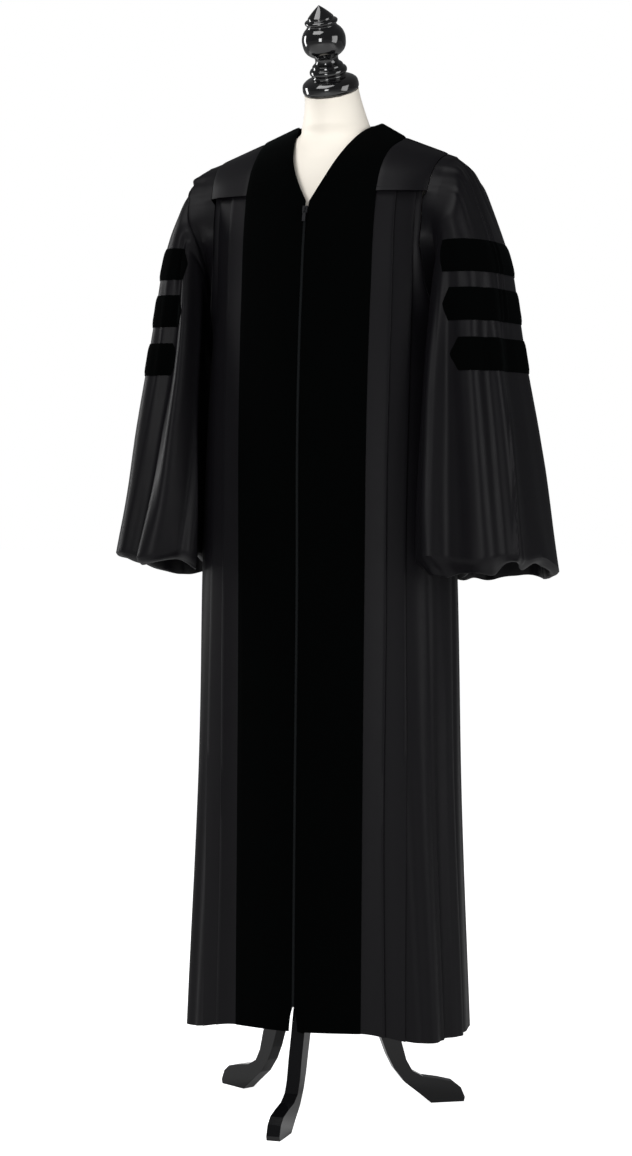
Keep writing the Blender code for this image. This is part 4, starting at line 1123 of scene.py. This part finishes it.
for label, side in (("left", 1.0), ("right", -1.0)):
    finish_piece(
        build_front("fine_front_" + label, side), gown_cloth, "gown_cloth", "front_" + label)
    finish_piece(
        two_faced("fine_velvet_" + label, velvet_grid(side), VELVET_LIFT, VELVET_LIFT + VELVET, side < 0),
        gown_velvet, "velvet", "velvet_" + label)
    finish_piece(
        two_faced("fine_yoke_" + label, yoke_grid(side), SEAM_GAP, SEAM_GAP + CLOTH, side < 0),
        gown_cloth, "gown_cloth", "yoke_" + label)
finish_piece(build_back(), gown_cloth, "gown_cloth", "back")
finish_piece(build_back_yoke(), gown_cloth, "gown_cloth", "yoke_back")
finish_piece(build_collar(), gown_velvet, "velvet", "collar_back")
for sleeve in SLEEVES:
    made, bars = build_sleeve(sleeve)
    finish_piece(made, gown_cloth, "gown_cloth", "sleeve_" + sleeve[0])
    for number, bar in enumerate(bars):
        node = "bar_%s_%d" % (sleeve[0], number + 1)
        finish_piece(bar, gown_velvet, "velvet", node)

coil_black = plain_material("zip_coil_black", (0.004, 0.005, 0.0055, 1.0), 0.6)
finish_piece(build_teeth(), coil_black, "zip_tape")

lean_turn = Matrix.Rotation(LEAN, 3, "X")
cap_seat = Vector(NECK_TOP) + lean_turn @ Vector((0, 0, SEAM_GAP))
finish_piece(lathe("fine_neck_cap", CAP, 72, lean_turn, cap_seat), lacquer, "lacquered_wood", "neck_cap")

finish_piece(build_form(), cream, "form_cover", "dress_form")

for node, mat in (("pole", stand_lacquer), ("hub", stand_lacquer), ("leg_1", stand_lacquer),
                  ("leg_2", stand_lacquer), ("leg_3", stand_lacquer), ("zip_tape", zip_tape_black),
                  ("zip_slider", zip_metal), ("zip_pull", zip_metal)):
    dress(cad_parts[node], mat)
for node in ("leg_1", "leg_2", "leg_3", "zip_slider", "zip_pull"):
    soft_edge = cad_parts[node].modifiers.new("soft_edge", "BEVEL")
    soft_edge.width = 0.0022 if node.startswith("leg") else 0.0003
    soft_edge.segments = 3
    soft_edge.limit_method = "ANGLE"
    soft_edge.angle_limit = math.radians(50)

# Stitch lines a few millimetres inside the seams
for label, side in (("left", 1.0), ("right", -1.0)):
    grid = yoke_grid(side)
    line = [grid[1, k] + (grid[2, k] - grid[1, k]) * 0.2 for k in range(grid.shape[1])]
    stitches = build_stitches("yoke_stitch_" + label, line, 0.0022, 0.0010, 0.0016)
    finish_piece(stitches, gown_cloth, "gown_cloth")

# Light, floor and camera

def area_light(name, place_at, aim, size, power):
    """A softbox."""
    data = bpy.data.lights.new(name, "AREA")
    data.shape = "RECTANGLE"
    data.size, data.size_y = size
    data.energy = power
    obj = bpy.data.objects.new(name, data)
    obj.location = place_at
    obj.rotation_euler = (Vector(aim) - Vector(place_at)).to_track_quat("-Z", "Y").to_euler()
    bpy.context.scene.collection.objects.link(obj)


world = bpy.data.worlds.new("studio")
bpy.context.scene.world = world
world.use_nodes = True
room = world.node_tree
seen = room.nodes["Background"]
seen.inputs["Color"].default_value = (1.0, 1.0, 1.0, 1.0)
seen.inputs["Strength"].default_value = 1.0
ambient = add_node(room, "Background", Color=(0.96, 0.98, 1.0, 1.0), Strength=AMBIENT)
which_ray = add_node(room, "LightPath")
either = add_node(room, "MixShader")
room.links.new(which_ray.outputs["Is Camera Ray"], either.inputs["Fac"])
room.links.new(ambient.outputs["Background"], either.inputs[1])
room.links.new(seen.outputs["Background"], either.inputs[2])
room.links.new(either.outputs["Shader"], room.nodes["World Output"].inputs["Surface"])

floor_mesh = bpy.data.meshes.new("floor")
floor_mesh.from_pydata([(-30, -30, 0), (30, -30, 0), (30, 30, 0), (-30, 30, 0)], [], [(0, 1, 2, 3)])
floor = bpy.data.objects.new("floor", floor_mesh)
bpy.context.scene.collection.objects.link(floor)
pale, pale_tree, pale_shader = new_material("pale_floor", (0.90, 0.90, 0.90, 1.0), 0.9)
pale_shader.inputs["Specular IOR Level"].default_value = 0.0
pale_shader.inputs["Emission Color"].default_value = (1.0, 1.0, 1.0, 1.0)
pale_ray = add_node(pale_tree, "LightPath").outputs["Is Camera Ray"]
vary(pale_tree, pale_ray, FLOOR_GLOW, FLOOR_SEEN, pale_shader.inputs["Emission Strength"])
dress(floor, pale)

for lamp in LAMPS:
    area_light(*lamp)

CAMERA_TURN = math.radians(21.0)
CAMERA_AWAY = 4.1
CAMERA_HIGH = 0.97
CAMERA_DOWN = math.radians(2.06)
FOCAL_PIXELS = 2658.0
PHOTO = (632, 1156)
POLE_PIXEL = 321.0
lens = bpy.data.cameras.new("photo_view")
lens.sensor_fit = "VERTICAL"
lens.sensor_height = 36.0
lens.lens = FOCAL_PIXELS / PHOTO[1] * 36.0
lens.shift_x = -(POLE_PIXEL - PHOTO[0] / 2) / PHOTO[1]
camera = bpy.data.objects.new("photo_view", lens)
away = Vector((CAMERA_AWAY * math.sin(CAMERA_TURN), -CAMERA_AWAY * math.cos(CAMERA_TURN), CAMERA_HIGH))
camera.location = away + Vector(SHIFT)
camera.rotation_euler = (math.pi / 2 - CAMERA_DOWN, 0.0, CAMERA_TURN)
bpy.context.scene.collection.objects.link(camera)
bpy.context.scene.camera = camera
bpy.context.scene.view_settings.view_transform = "Standard"
